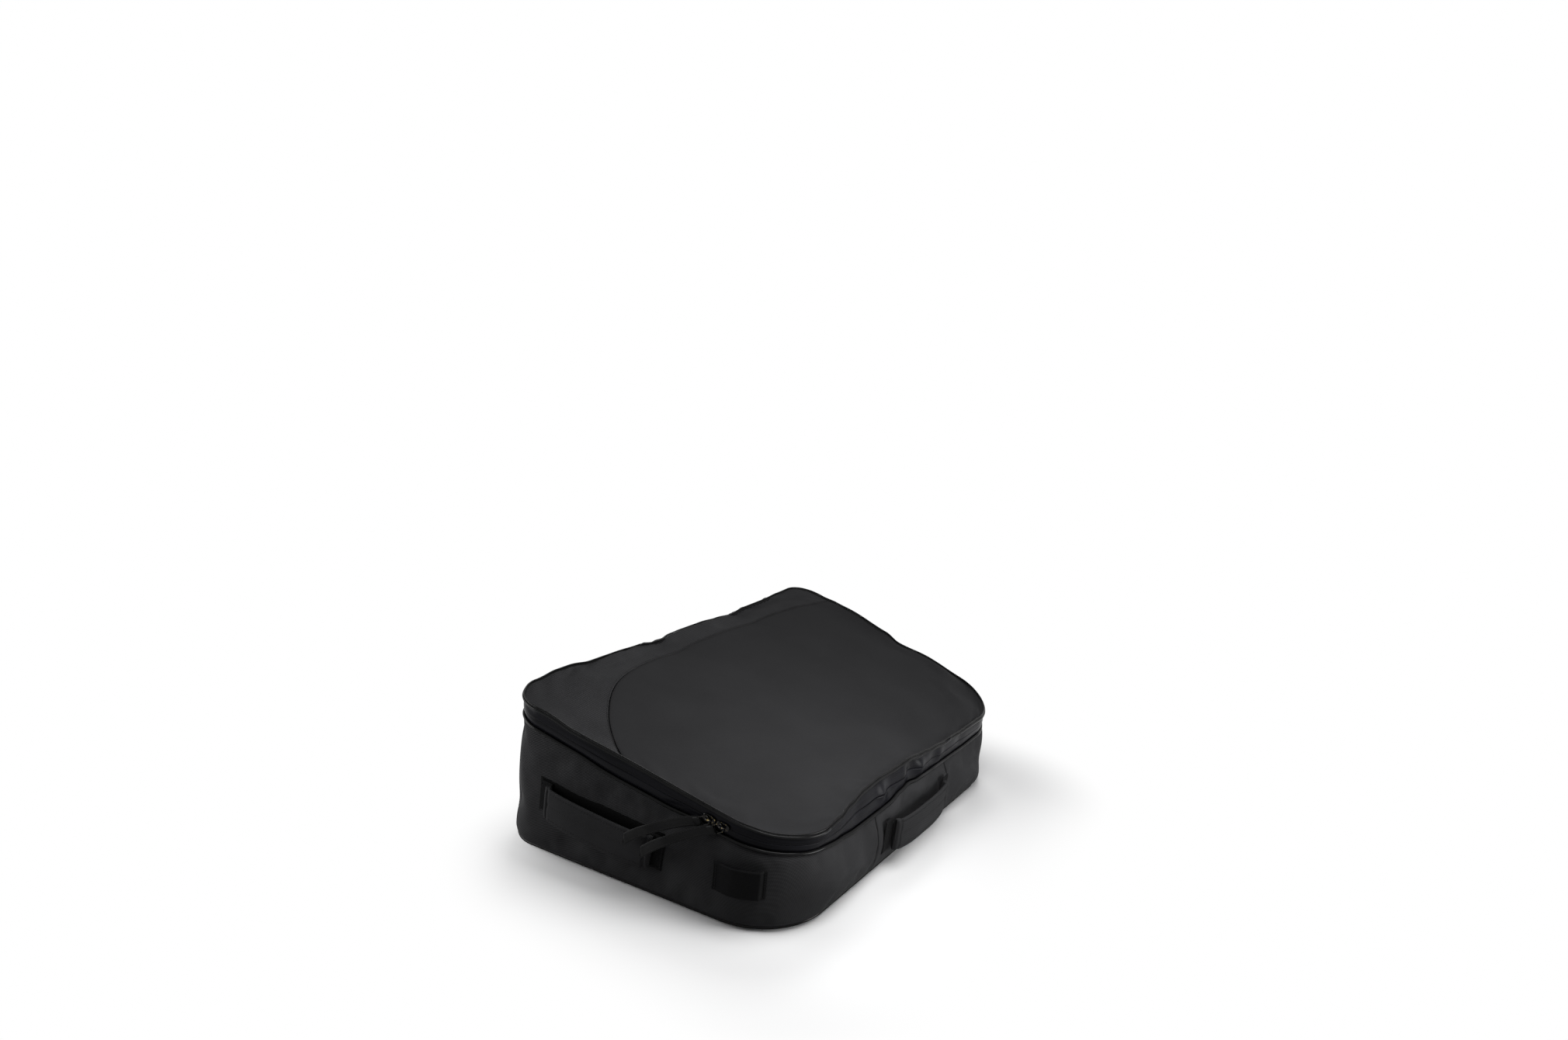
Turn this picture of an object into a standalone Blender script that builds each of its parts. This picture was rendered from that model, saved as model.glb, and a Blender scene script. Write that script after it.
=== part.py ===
"""Wedge-shaped soft bag that fills the low nose of a roof box.

The lid is cut flat as a rounded trapezoid and slopes down to the nose (-Y). A two-way zip runs round
it, and the lid swings on the fabric strip along its rear edge (+Y). Lengths are in metres.
"""
import math

import bmesh
import bpy
from mathutils import Matrix, Vector

# Driving dimensions.
REAR_WIDTH = 0.710          # lid pattern between the rear corner points
NOSE_WIDTH = 0.630          # lid pattern between the nose corner points
LID_DEPTH = 0.428           # lid pattern from rear to nose, measured along its slope
REAR_HEIGHT = 0.213         # floor to the lid's piping at the rear
NOSE_HEIGHT = 0.130         # and at the nose
REAR_RADIUS = 0.046         # lid corners
NOSE_RADIUS = 0.096
DOME = 0.011                # rise of the lid's middle over its edge
BAND = 0.0255               # from the lid's piping down to the wall's piping
FABRIC = 0.004              # padded fabric of walls and lid
FLOOR = 0.003               # floor fabric
FLOOR_ROLL = 0.005          # the floor's edge rolls up over this width
BULGE_REAR = 0.006          # walls stand out this much at mid height
BULGE_SIDE = 0.007
BULGE_NOSE = 0.011
CORNER_SHARE = 0.5          # the bulge that is left round a corner
FLARE = 0.003               # walls spread this much down to the floor
FLARE_REAR = 0.009          # and this much more at the rear
PIPE_RADIUS = 0.002
PIPE_PROUD = 0.0008         # piping stands out past the wall
PIPE_HEIGHT = 0.0055        # middle of the floor's piping above the ground
TAPE = 0.0012               # zip tape thickness
TAPE_INSET = 0.0004         # tape lies this much behind the wall's face
SLIT = 0.002                # between the tape halves, where the sliders' necks run
COIL_RADIUS = 0.0012
BINDING = 0.010             # width of the tape over an inside seam
GAP = 0.0003                # between pieces that touch
NOSE_SEAM_X = 0.110         # upright seams of the nose panel
LID_SEAM_Y = 0.171          # lid seam at the middle, on the pattern
LID_SEAM_REACH = 0.336      # half width over which the seam falls away
LID_SEAM_FALL = (0.143, 0.025)   # its fall there, left and right
HANDLE_SPAN = 0.193         # over both end patches
HANDLE_HEIGHT = 0.047
HANDLE_THICK = 0.007
HANDLE_RISE = 0.0125        # middle of the grip over its ends
HANDLE_SAG = 0.003          # and this much lower
HANDLE_FOOT = 7 / 8         # share of a grip's length between its sewn feet
PATCH_WIDTH = 0.020
PATCH_HEIGHT = 0.050
PATCH_THICK = 0.0012
HANDLE_Y = 0.063            # middle of the side handles
LOOP_LENGTH = 0.064         # webbing loop by the nose corner
LOOP_HEIGHT = 0.042
LOOP_STANDOFF = 0.0080
LOOP_THICK = 0.0016
LOOP_START = 0.010          # its rear end lies this far behind the nose corner's arc
LOOP_RISE = 0.003           # and its middle this far over the wall's
SLIDER_LENGTH = 0.018
SLIDER_WIDTH = 0.0104
SLIDER_PLATE = 0.0016
OUTER_PLAY = 0.0010         # slider's outer plate over the tape
INNER_PLAY = 0.0018         # inner plate behind the coils
SLIDER_LEAD = 0.006         # slider b waits this far before the corner's arc
SLIDER_PITCH = 0.0195       # between the two sliders, nose to nose
BRIDGE_RADIUS = 0.0011
BRIDGE_LENGTH = 0.007
BAIL_WIDTH = 0.011
BAIL_LENGTH = 0.013
BAIL_RADIUS = 0.0009
PULL_ANGLES = {"a": 41.5, "b": 45.5}    # pulls hang this many degrees below the zip
STRAP_LENGTH = 0.095
STRAP_WIDTH = 0.0135
STRAP_THICK = 0.0024
STRAP_CLEARANCE = 0.0315    # strap's middle plane off the zip's face where it passes the handle

# Worked out from them.
SLOPE = math.asin((REAR_HEIGHT - NOSE_HEIGHT) / LID_DEPTH)
MID_HEIGHT = (REAR_HEIGHT + NOSE_HEIGHT) / 2
TAPER = math.atan((REAR_WIDTH - NOSE_WIDTH) / 2 / LID_DEPTH)
REAR_TANGENT = REAR_RADIUS * math.tan((math.pi / 2 + TAPER) / 2)
NOSE_TANGENT = NOSE_RADIUS * math.tan((math.pi / 2 - TAPER) / 2)
SIDE_LENGTH = LID_DEPTH / math.cos(TAPER) - REAR_TANGENT - NOSE_TANGENT
REAR_END = REAR_WIDTH / 2 - REAR_TANGENT
SIDE_START = REAR_END + REAR_RADIUS * (math.pi / 2 + TAPER)
SIDE_END = SIDE_START + SIDE_LENGTH
NOSE_START = SIDE_END + NOSE_RADIUS * (math.pi / 2 - TAPER)
HALF = NOSE_START + NOSE_WIDTH / 2 - NOSE_TANGENT
NOSE_SEAM = HALF - NOSE_SEAM_X
CORNER_SEAM = (REAR_END + SIDE_START) / 2
PIPE_OFFSET = PIPE_PROUD - PIPE_RADIUS
WALL_BOTTOM = PIPE_HEIGHT + PIPE_RADIUS + GAP
WALL_TOP = -BAND - PIPE_RADIUS - GAP        # under the lid's plane
ZIP_LINE = -BAND / 2

WALL_ROWS = 6               # faces up the height of a wall
COLLECTION = "roof_box_bag"


# The lid's pattern and the walls under it.
def pattern(s):
    """Point and outward normal on the pattern's edge, s along it from the rear's middle by the left."""
    if s < 0:
        point, normal = pattern(-s)
        return Vector((-point.x, point.y)), Vector((-normal.x, normal.y))
    if s > HALF:
        point, normal = pattern(2 * HALF - s)
        return Vector((-point.x, point.y)), Vector((-normal.x, normal.y))
    if s <= REAR_END:
        return Vector((-s, LID_DEPTH / 2)), Vector((0, 1))
    if s <= SIDE_START:
        angle = math.pi / 2 + (s - REAR_END) / REAR_RADIUS
        normal = Vector((math.cos(angle), math.sin(angle)))
        return Vector((-REAR_END, LID_DEPTH / 2 - REAR_RADIUS)) + normal * REAR_RADIUS, normal
    if s <= SIDE_END:
        normal = Vector((-math.cos(TAPER), -math.sin(TAPER)))
        corner = Vector((-REAR_WIDTH / 2, LID_DEPTH / 2))
        along = Vector((math.sin(TAPER), -math.cos(TAPER)))
        return corner + along * (REAR_TANGENT + s - SIDE_START), normal
    if s <= NOSE_START:
        angle = math.pi + TAPER + (s - SIDE_END) / NOSE_RADIUS
        normal = Vector((math.cos(angle), math.sin(angle)))
        return nose_centre() + normal * NOSE_RADIUS, normal
    return Vector((s - HALF, -LID_DEPTH / 2)), Vector((0, -1))


def nose_centre():
    """Centre of the nose corner's arc on the pattern."""
    return Vector((NOSE_TANGENT - NOSE_WIDTH / 2, NOSE_RADIUS - LID_DEPTH / 2))


def lid_point(flat, drop=0.0):
    """Pattern point laid on the sloping lid plane and moved up by drop."""
    y = flat.y * math.cos(SLOPE) + CENTRE_Y
    return Vector((flat.x, y, MID_HEIGHT + flat.y * math.sin(SLOPE) + drop))


def edge_point(s, out, drop):
    """Point on the lid's edge, moved out and up."""
    flat, normal = pattern(s)
    return lid_point(flat + normal * out, drop)


def bulge(s):
    """How far the wall stands out at mid height: less round the corners."""
    s = HALF - abs(HALF - abs(s))
    for start, end, first, second in ((REAR_END, SIDE_START, BULGE_REAR, BULGE_SIDE),
                                      (SIDE_END, NOSE_START, BULGE_SIDE, BULGE_NOSE)):
        if start < s < end:
            share = (s - start) / (end - start)
            dip = 1 - (1 - CORNER_SHARE) * math.sin(math.pi * share)
            return (first + (second - first) * share) * dip
    if s <= REAR_END:
        return BULGE_REAR
    return BULGE_SIDE if s <= SIDE_END else BULGE_NOSE


def flare(s):
    """How far the wall's foot stands out."""
    return FLARE + FLARE_REAR * max(0.0, pattern(s)[1].y)


def wall_out(s, share):
    """How far the wall stands out at a share of its height."""
    return flare(s) * (1 - share) + bulge(s) * math.sin(math.pi * share)


def wall_point(s, out, share):
    """Point on the wall at a share of its height."""
    point = edge_point(s, out + wall_out(s, share), WALL_TOP)
    point.z = WALL_BOTTOM + (point.z - WALL_BOTTOM) * share
    return point


def edge_frame(s, out, drop, slope_share=1.0):
    """Frame on the edge: X along it, Y up, Z outward; slope_share 0.5 follows the wall's middle."""
    normal = pattern(s)[1]
    along = Vector((-normal.y, normal.x * math.cos(SLOPE), normal.x * math.sin(SLOPE) * slope_share))
    outward = Vector((along.y, -along.x, 0)).normalized()
    along.normalize()
    up = outward.cross(along)
    frame = Matrix((along, up, outward)).transposed().to_4x4()
    return Matrix.Translation(edge_point(s, out, drop)) @ frame


def wall_frame(s):
    """Frame on the wall's middle line, on the outside of its bulge."""
    frame = edge_frame(s, 0, 0, 0.5)
    frame.translation = wall_point(s, 0, 0.5)
    return frame


def all_stations():
    """Cross sections of every strip, once round the bag and half round again at each end."""
    marks = []
    for a, b, count in ((0, REAR_END, 3), (REAR_END, SIDE_START, 7), (SIDE_START, SIDE_END, 4),
                        (SIDE_END, NOSE_START, 8), (NOSE_START, HALF, 2)):
        marks += [a + (b - a) * k / count for k in range(count)]
    marks += [HALF]
    return [-m for m in reversed(marks[1:])] + marks + [2 * HALF - m for m in reversed(marks[:-1])]


def stations(start, end):
    """Places along the edge where a strip from start to end has its cross sections."""
    inside = [m for m in all_stations() if start + 0.002 < m < end - 0.002]
    return [start] + inside + [end]


def faceted(place, s):
    """Point of place() at s on the flat facet between the cross sections around it."""
    marks = all_stations()
    for a, b in zip(marks, marks[1:]):
        if a <= s <= b:
            return place(a).lerp(place(b), (s - a) / (b - a))
    return place(s)


NOSE_REACH = wall_out(HALF, 0.5) + GAP + HANDLE_THICK + HANDLE_RISE
REAR_REACH = max(wall_out(0, step / WALL_ROWS) for step in range(WALL_ROWS))
CENTRE_Y = (NOSE_REACH - REAR_REACH) / 2    # brings the whole bag over the origin


# Scene helpers.
def clear_scene():
    for obj in list(bpy.data.objects):
        bpy.data.objects.remove(obj, do_unlink=True)


def make_collection(name):
    collection = bpy.data.collections.new(name)
    bpy.context.scene.collection.children.link(collection)
    return collection


def material(name, colour, roughness, metallic=0.0):
    mat = bpy.data.materials.new(name)
    mat.use_nodes = True
    shader = mat.node_tree.nodes["Principled BSDF"]
    shader.inputs["Base Color"].default_value = (*colour, 1.0)
    shader.inputs["Roughness"].default_value = roughness
    shader.inputs["Metallic"].default_value = metallic
    return mat


LOOKS = {
    "lid": ((0.026, 0.027, 0.028), 0.62, 0.0),
    "weave": ((0.016, 0.017, 0.018), 0.80, 0.0),
    "coated": ((0.018, 0.019, 0.020), 0.42, 0.0),
    "piping": ((0.014, 0.015, 0.016), 0.33, 0.0),
    "webbing": ((0.008, 0.008, 0.009), 0.75, 0.0),
    "coil": ((0.010, 0.010, 0.011), 0.45, 0.0),
    "metal": ((0.020, 0.020, 0.022), 0.30, 0.9),
}


def finish(obj, look, parent=None):
    """Gives the object its material, its place in the collection and its parent."""
    colour, roughness, metallic = LOOKS[look]
    if not obj.data.materials:
        obj.data.materials.append(None)
    slot = obj.material_slots[0]
    slot.link = 'OBJECT'
    slot.material = material(obj.name, colour, roughness, metallic)
    for collection in list(obj.users_collection):
        collection.objects.unlink(obj)
    bpy.data.collections[COLLECTION].objects.link(obj)
    if parent is not None:
        bpy.context.view_layer.update()
        obj.parent = parent
        obj.matrix_parent_inverse = parent.matrix_world.inverted()
    return obj


def make_cutter(obj):
    for collection in list(obj.users_collection):
        collection.objects.unlink(obj)
    bpy.data.collections["cutters"].objects.link(obj)
    obj.hide_render = True
    obj.display_type = 'WIRE'
    return obj


def empty(name, frame):
    obj = bpy.data.objects.new(name, None)
    obj.matrix_world = frame
    bpy.data.collections[COLLECTION].objects.link(obj)
    bpy.context.view_layer.update()
    return obj


def mesh_object(name, bm, frame=None):
    mesh = bpy.data.meshes.new(name)
    bm.to_mesh(mesh)
    bm.free()
    obj = bpy.data.objects.new(name, mesh)
    bpy.context.scene.collection.objects.link(obj)
    if frame is not None:
        obj.matrix_world = frame
    return obj


def sheet(name, rows, closed=False, cap=False):
    """Open surface through rows of points; the first row can be capped."""
    bm = bmesh.new()
    grid = [[bm.verts.new(point) for point in row] for row in rows]
    count = len(rows[0])
    last = count if closed else count - 1
    for low, high in zip(grid, grid[1:]):
        for i in range(last):
            j = (i + 1) % count
            bm.faces.new((low[i], low[j], high[j], high[i]))
    if cap:
        bm.faces.new(list(reversed(grid[0])))
    return mesh_object(name, bm)


def solidify(obj, thickness, offset=-1.0):
    modifier = obj.modifiers.new("thickness", 'SOLIDIFY')
    modifier.thickness = thickness
    modifier.offset = offset
    modifier.use_even_offset = True
    return obj


def bevel(obj, width, segments=2, angle=40.0):
    modifier = obj.modifiers.new("soft edges", 'BEVEL')
    modifier.width = width
    modifier.segments = segments
    modifier.limit_method = 'ANGLE'
    modifier.angle_limit = math.radians(angle)
    return obj


def boolean(obj, cutter, operation):
    modifier = obj.modifiers.new(operation.lower(), 'BOOLEAN')
    modifier.operation = operation
    modifier.object = cutter
    modifier.solver = 'EXACT'
    return obj


def tube(name, points, radius, closed=False, sides=1, frame=None):
    """Round cord or wire through the points."""
    curve = bpy.data.curves.new(name, 'CURVE')
    curve.dimensions = '3D'
    curve.bevel_depth = radius
    curve.bevel_resolution = sides
    curve.use_fill_caps = True
    spline = curve.splines.new('POLY')
    spline.points.add(len(points) - 1)
    for knot, point in zip(spline.points, points):
        knot.co = (*point, 1.0)
    spline.use_cyclic_u = closed
    obj = bpy.data.objects.new(name, curve)
    bpy.context.scene.collection.objects.link(obj)
    if frame is not None:
        obj.matrix_world = frame
    return obj


def to_mesh(obj):
    """Welded mesh copy of a curve object, in its place."""
    bpy.context.view_layer.update()
    evaluated = obj.evaluated_get(bpy.context.evaluated_depsgraph_get())
    mesh = bpy.data.meshes.new_from_object(evaluated)
    bm = bmesh.new()
    bm.from_mesh(mesh)
    bmesh.ops.remove_doubles(bm, verts=bm.verts, dist=0.00001)
    bm.to_mesh(mesh)
    bm.free()
    name = obj.name
    frame = obj.matrix_world.copy()
    bpy.data.objects.remove(obj, do_unlink=True)
    copy = bpy.data.objects.new(name, mesh)
    copy.matrix_world = frame
    bpy.context.scene.collection.objects.link(copy)
    return copy


# Tub.
def wall_panel(name, start, end, look):
    """Padded wall between two upright seams."""
    places = stations(start + GAP / 2, end - GAP / 2)
    rows = []
    for step in range(WALL_ROWS + 1):
        rows.append([faceted(lambda m: wall_point(m, 0, step / WALL_ROWS), s) for s in places])
    return finish(solidify(sheet(name, rows), FABRIC), look)


def band_strip(name, start, end, low, high, parent=None, look="coated"):
    """Thin upright strip under the lid's edge, between two heights under the lid's plane."""
    places = stations(start, end)
    rows = []
    for drop in (low, high):
        rows.append([faceted(lambda m: edge_point(m, -TAPE_INSET, drop), s) for s in places])
    return finish(solidify(sheet(name, rows), TAPE), look, parent)


def top_cord(name, drop, parent=None):
    """Piping all round at a level under the lid's plane."""
    points = [edge_point(s, PIPE_OFFSET, drop) for s in stations(0, 2 * HALF)[:-1]]
    return finish(tube(name, points, PIPE_RADIUS, closed=True), "piping", parent)


def bottom_cord():
    """Piping all round between the walls and the floor."""
    points = [edge_point(s, PIPE_OFFSET + flare(s), 0) for s in stations(0, 2 * HALF)[:-1]]
    points = [Vector((p.x, p.y, PIPE_HEIGHT)) for p in points]
    return finish(tube("bottom_piping", points, PIPE_RADIUS, closed=True), "piping")


def floor_panel():
    """Floor with its edge rolled up to the piping."""
    places = stations(0, 2 * HALF)[:-1]
    top = PIPE_HEIGHT - PIPE_RADIUS - GAP
    rows = []
    for step in range(5):
        angle = math.pi / 2 * step / 4
        out = -FLOOR_ROLL * (1 - math.sin(angle)) - TAPE_INSET
        row = [edge_point(s, out + flare(s), 0) for s in places]
        rows.append([Vector((p.x, p.y, top * (1 - math.cos(angle)))) for p in row])
    return finish(solidify(sheet("bottom_panel", rows, closed=True, cap=True), FLOOR), "weave")


def seam_binding(name, s):
    """Tape bound over an upright seam, inside the bag."""
    rows = []
    shares = [0.06] + [step / WALL_ROWS for step in range(1, WALL_ROWS)] + [0.94]
    for share in shares:
        def inner(m):
            return wall_point(m, -FABRIC - 3 * GAP, share)
        rows.append([faceted(inner, s - BINDING / 2), faceted(inner, s + BINDING / 2)])
    return finish(solidify(sheet(name, rows), 0.001), "webbing")


def make_tub():
    floor_panel()
    wall_panel("rear_panel", -CORNER_SEAM, CORNER_SEAM, "weave")
    wall_panel("left_side_panel", CORNER_SEAM, NOSE_SEAM, "weave")
    wall_panel("right_side_panel", 2 * HALF - NOSE_SEAM, 2 * HALF - CORNER_SEAM, "weave")
    wall_panel("nose_panel", NOSE_SEAM, 2 * HALF - NOSE_SEAM, "coated")
    bottom_cord()
    top_cord("wall_top_piping", -BAND)
    seam_binding("rear_left_binding", CORNER_SEAM)
    seam_binding("rear_right_binding", 2 * HALF - CORNER_SEAM)
    seam_binding("nose_left_binding", NOSE_SEAM)
    seam_binding("nose_right_binding", 2 * HALF - NOSE_SEAM)


# Zip and hinge strip.
def coil(name, drop, parent=None):
    """Closed coil sewn behind the tape's edge."""
    out = -TAPE_INSET - TAPE - GAP - COIL_RADIUS
    points = [edge_point(s, out, drop) for s in stations(REAR_END + 0.004, 2 * HALF - REAR_END - 0.004)]
    return finish(tube(name, points, COIL_RADIUS), "coil", parent)


def make_zip(lid_axis):
    low = -BAND + PIPE_RADIUS + GAP
    high = -PIPE_RADIUS - GAP
    ends = (REAR_END + GAP, 2 * HALF - REAR_END - GAP)
    band_strip("zip_tape_lower", *ends, low, ZIP_LINE - SLIT / 2)
    band_strip("zip_tape_upper", *ends, ZIP_LINE + SLIT / 2, high, lid_axis)
    coil("zip_coil_lower", ZIP_LINE - SLIT / 2 - COIL_RADIUS)
    coil("zip_coil_upper", ZIP_LINE + SLIT / 2 + COIL_RADIUS, lid_axis)
    band_strip("hinge_strip_wall", -REAR_END, REAR_END, low, ZIP_LINE - GAP / 2, look="weave")
    band_strip("hinge_strip_lid", -REAR_END, REAR_END, ZIP_LINE + GAP / 2, high, lid_axis, "weave")


# Lid.
def lid_seam(u):
    """Seam across the lid: straight in the middle, falling away to both sides."""
    fall = LID_SEAM_FALL[0] if u < 0 else LID_SEAM_FALL[1]
    return LID_SEAM_Y - fall * (u / LID_SEAM_REACH) ** 4


def lid_shell(name):
    """Domed padded sheet inside the lid's piping."""
    places = stations(0, 2 * HALF)[:-1]
    inset = PIPE_OFFSET - PIPE_RADIUS - GAP
    rim = [pattern(s)[0] + pattern(s)[1] * inset for s in places]
    rows = []
    for ring in range(6):
        share = 1 - ring / 6
        rows.append([lid_point(p * share, 0.001 + DOME * (1 - share ** 2.4)) for p in rim])
    obj = sheet(name, rows, closed=True)
    bm = bmesh.new()
    bm.from_mesh(obj.data)
    bm.verts.ensure_lookup_table()
    inner = list(bm.verts)[-len(rim):]
    middle = bm.verts.new(lid_point(Vector((0, 0)), 0.001 + DOME))
    for a, b in zip(inner, inner[1:] + inner[:1]):
        bm.faces.new((a, b, middle))
    bm.to_mesh(obj.data)
    bm.free()
    return solidify(obj, FABRIC)


def seam_cutter(name, shift):
    """Block over all of the lid behind the seam, moved forward or back by half the gap."""
    reach = REAR_WIDTH / 2 + 0.02
    columns = [reach * (k / 16 - 1) for k in range(33)]
    front = [lid_point(Vector((u, lid_seam(u) - shift))) for u in columns]
    back = [lid_point(Vector((u, LID_DEPTH / 2 + 0.03))) for u in (reach, -reach)]
    bm = bmesh.new()
    face = bm.faces.new([bm.verts.new((p.x, p.y, 0.05)) for p in front + back])
    grown = bmesh.ops.extrude_face_region(bm, geom=[face])["geom"]
    moved = [item for item in grown if isinstance(item, bmesh.types.BMVert)]
    bmesh.ops.translate(bm, verts=moved, vec=(0, 0, 0.25))
    bmesh.ops.recalc_face_normals(bm, faces=bm.faces)
    return make_cutter(mesh_object(name, bm))


def make_lid(lid_axis):
    front = boolean(lid_shell("lid_front_panel"), seam_cutter("behind_seam_wide", GAP / 2), 'DIFFERENCE')
    finish(front, "lid", lid_axis)
    rear = boolean(lid_shell("lid_rear_panel"), seam_cutter("behind_seam_narrow", -GAP / 2), 'INTERSECT')
    finish(rear, "weave", lid_axis)
    top_cord("lid_piping", 0, lid_axis)


# Handles and loop.
def grip(name, frame):
    """Padded strap that stands off the wall between its two sewn ends."""
    length = HANDLE_SPAN - 2 * PATCH_WIDTH
    height = HANDLE_THICK / 2 + GAP
    rows = []
    for j in range(3):
        y = HANDLE_HEIGHT * (j / 2 - 0.5)
        row = []
        for i in range(17):
            x = i / 8 - 1
            arch = max(0.0, 1 - (abs(x) / HANDLE_FOOT) ** 3.4)
            row.append(Vector((x * length / 2, y - HANDLE_SAG * arch, height + HANDLE_RISE * arch)))
        rows.append(row)
    obj = solidify(sheet(name, rows), HANDLE_THICK, 0)
    obj.matrix_world = frame
    return finish(bevel(obj, 0.0022), "coated")


def patch(name, frame, x):
    """Flat sewn patch at one end of a handle."""
    bm = bmesh.new()
    bmesh.ops.create_cube(bm, size=1.0)
    bmesh.ops.scale(bm, verts=bm.verts, vec=(PATCH_WIDTH, PATCH_HEIGHT, PATCH_THICK))
    place = frame @ Matrix.Translation((x, 0, GAP + PATCH_THICK / 2))
    return finish(bevel(mesh_object(name, bm, place), 0.0004, 1), "webbing")


def handle(side, s):
    """One handle: the grip and its two end patches, on the wall's middle line."""
    frame = wall_frame(s)
    grip(side + "_handle_grip", frame)
    reach = HANDLE_SPAN / 2 - PATCH_WIDTH / 2 + 2 * GAP
    patch(side + "_handle_patch_1", frame, -reach)
    patch(side + "_handle_patch_2", frame, reach)


def webbing_loop():
    """Webbing sewn at both ends round the nose corner, open upward and downward between them."""
    start = SIDE_END - LOOP_START
    level = wall_point(start, 0, 0.5).z + LOOP_RISE
    count = 14
    sewn = 0.14
    rows = []
    for y in (-0.5, 0.5):
        row = []
        for i in range(count + 1):
            share = i / count
            ramp = min(1.0, max(0.0, (0.5 - abs(share - 0.5) - sewn) / 0.14))
            lift = GAP + LOOP_THICK + LOOP_STANDOFF * ramp * ramp * (3 - 2 * ramp)
            s = start + LOOP_LENGTH * share
            point = wall_point(s, lift, 0.5)
            row.append(Vector((point.x, point.y, level + y * LOOP_HEIGHT)))
        rows.append(row)
    return finish(solidify(sheet("webbing_loop", rows), LOOP_THICK), "webbing")


def make_handles():
    side = SIDE_START + (pattern(SIDE_START)[0].y - (HANDLE_Y - CENTRE_Y)) / math.cos(TAPER)
    handle("left", side)
    handle("right", 2 * HALF - side)
    handle("nose", HALF)
    webbing_loop()


# Sliders and pulls.
def rounded_plate(name, length, width, low, high, nose=0.3):
    """Slider plate: round at its nose, narrower at its tail."""
    bm = bmesh.new()
    outline = []
    for k in range(20):
        angle = 2 * math.pi * k / 20
        x = math.cos(angle)
        squareness = abs(math.sin(angle)) ** 0.55
        y = math.copysign(squareness, math.sin(angle)) * (1 - nose * max(0.0, x) ** 2)
        outline.append(bm.verts.new((x * length / 2, y * width / 2, low)))
    face = bm.faces.new(outline)
    grown = bmesh.ops.extrude_face_region(bm, geom=[face])["geom"]
    moved = [item for item in grown if isinstance(item, bmesh.types.BMVert)]
    bmesh.ops.translate(bm, verts=moved, vec=(0, 0, high - low))
    bmesh.ops.recalc_face_normals(bm, faces=bm.faces)
    return mesh_object(name, bm)


def slider_mesh():
    """Both plates, the neck between them and the bridge over the outer one, as one casting."""
    outer = OUTER_PLAY - TAPE_INSET
    inner = -TAPE_INSET - TAPE - GAP - 2 * COIL_RADIUS - INNER_PLAY
    body = rounded_plate("slider_body", SLIDER_LENGTH, SLIDER_WIDTH, outer, outer + SLIDER_PLATE)
    bevel(body, 0.0004, 1, 60)
    back = make_cutter(rounded_plate("slider_back", SLIDER_LENGTH, SLIDER_WIDTH * 0.8,
                                     inner - 0.0014, inner))
    bm = bmesh.new()
    bmesh.ops.create_cube(bm, size=1.0)
    bmesh.ops.scale(bm, verts=bm.verts, vec=(0.007, SLIT / 2, outer - inner + 0.0008))
    neck = make_cutter(mesh_object("slider_neck", bm, Matrix.Translation((0, 0, (outer + inner) / 2))))
    top = outer + SLIDER_PLATE
    points = []
    for k in range(9):
        angle = math.pi * k / 8
        rise = 0.0044 * math.sin(angle) ** 0.6
        points.append(Vector((-BRIDGE_LENGTH / 2 * math.cos(angle), 0, top - 0.0006 + rise)))
    bridge = make_cutter(to_mesh(tube("slider_bridge", points, BRIDGE_RADIUS, sides=2)))
    for piece in (back, neck, bridge):
        boolean(body, piece, 'UNION')
    bpy.context.view_layer.update()
    evaluated = body.evaluated_get(bpy.context.evaluated_depsgraph_get())
    mesh = bpy.data.meshes.new_from_object(evaluated)
    bpy.data.objects.remove(body, do_unlink=True)
    return mesh


def bail_points():
    """Rounded wire link in the pull's own frame, its near bar on the bridge pin."""
    radius = 0.0022
    points = []
    for cx, cy, start in ((BAIL_LENGTH - radius, BAIL_WIDTH / 2 - radius, 0),
                          (radius, BAIL_WIDTH / 2 - radius, 90),
                          (radius, radius - BAIL_WIDTH / 2, 180),
                          (BAIL_LENGTH - radius, radius - BAIL_WIDTH / 2, 270)):
        for step in range(4):
            angle = math.radians(start + 30 * step)
            points.append(Vector((cx + radius * math.cos(angle), cy + radius * math.sin(angle), 0)))
    return points


def strap(name, pin_height):
    """Flat pull strap: a lug round the bail's far bar, then a tongue that rises clear of the handle."""
    start = BAIL_LENGTH + 0.0028
    rows = []
    for side in (-0.5, 0.5):
        row = []
        for k in range(13):
            share = k / 12
            x = start + STRAP_LENGTH * share
            ramp = min(1.0, share / 0.62)
            rise = (STRAP_CLEARANCE - pin_height) * ramp * ramp * (3 - 2 * ramp)
            taper = 0.64 + 0.36 * min(1.0, share / 0.08)
            row.append(Vector((x, side * STRAP_WIDTH * taper, rise)))
        rows.append(row)
    tongue = bevel(solidify(sheet(name, rows), STRAP_THICK, 0), 0.0007, 1)
    bm = bmesh.new()
    bmesh.ops.create_cube(bm, size=1.0)
    bmesh.ops.scale(bm, verts=bm.verts, vec=(0.0056, BAIL_WIDTH - 0.0052, 0.0042))
    lug = make_cutter(mesh_object(name + "_lug", bm, Matrix.Translation((BAIL_LENGTH + 0.0008, 0, 0))))
    bevel(lug, 0.0009, 1)
    bm = bmesh.new()
    bmesh.ops.create_cone(bm, cap_ends=True, segments=12, radius1=BAIL_RADIUS + GAP,
                          radius2=BAIL_RADIUS + GAP, depth=0.03)
    eye_frame = Matrix.Translation((BAIL_LENGTH, 0, 0)) @ Matrix.Rotation(math.pi / 2, 4, 'X')
    eye = make_cutter(mesh_object(name + "_eye", bm, eye_frame))
    boolean(tongue, lug, 'UNION')
    boolean(tongue, eye, 'DIFFERENCE')
    return tongue, (lug, eye)


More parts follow.
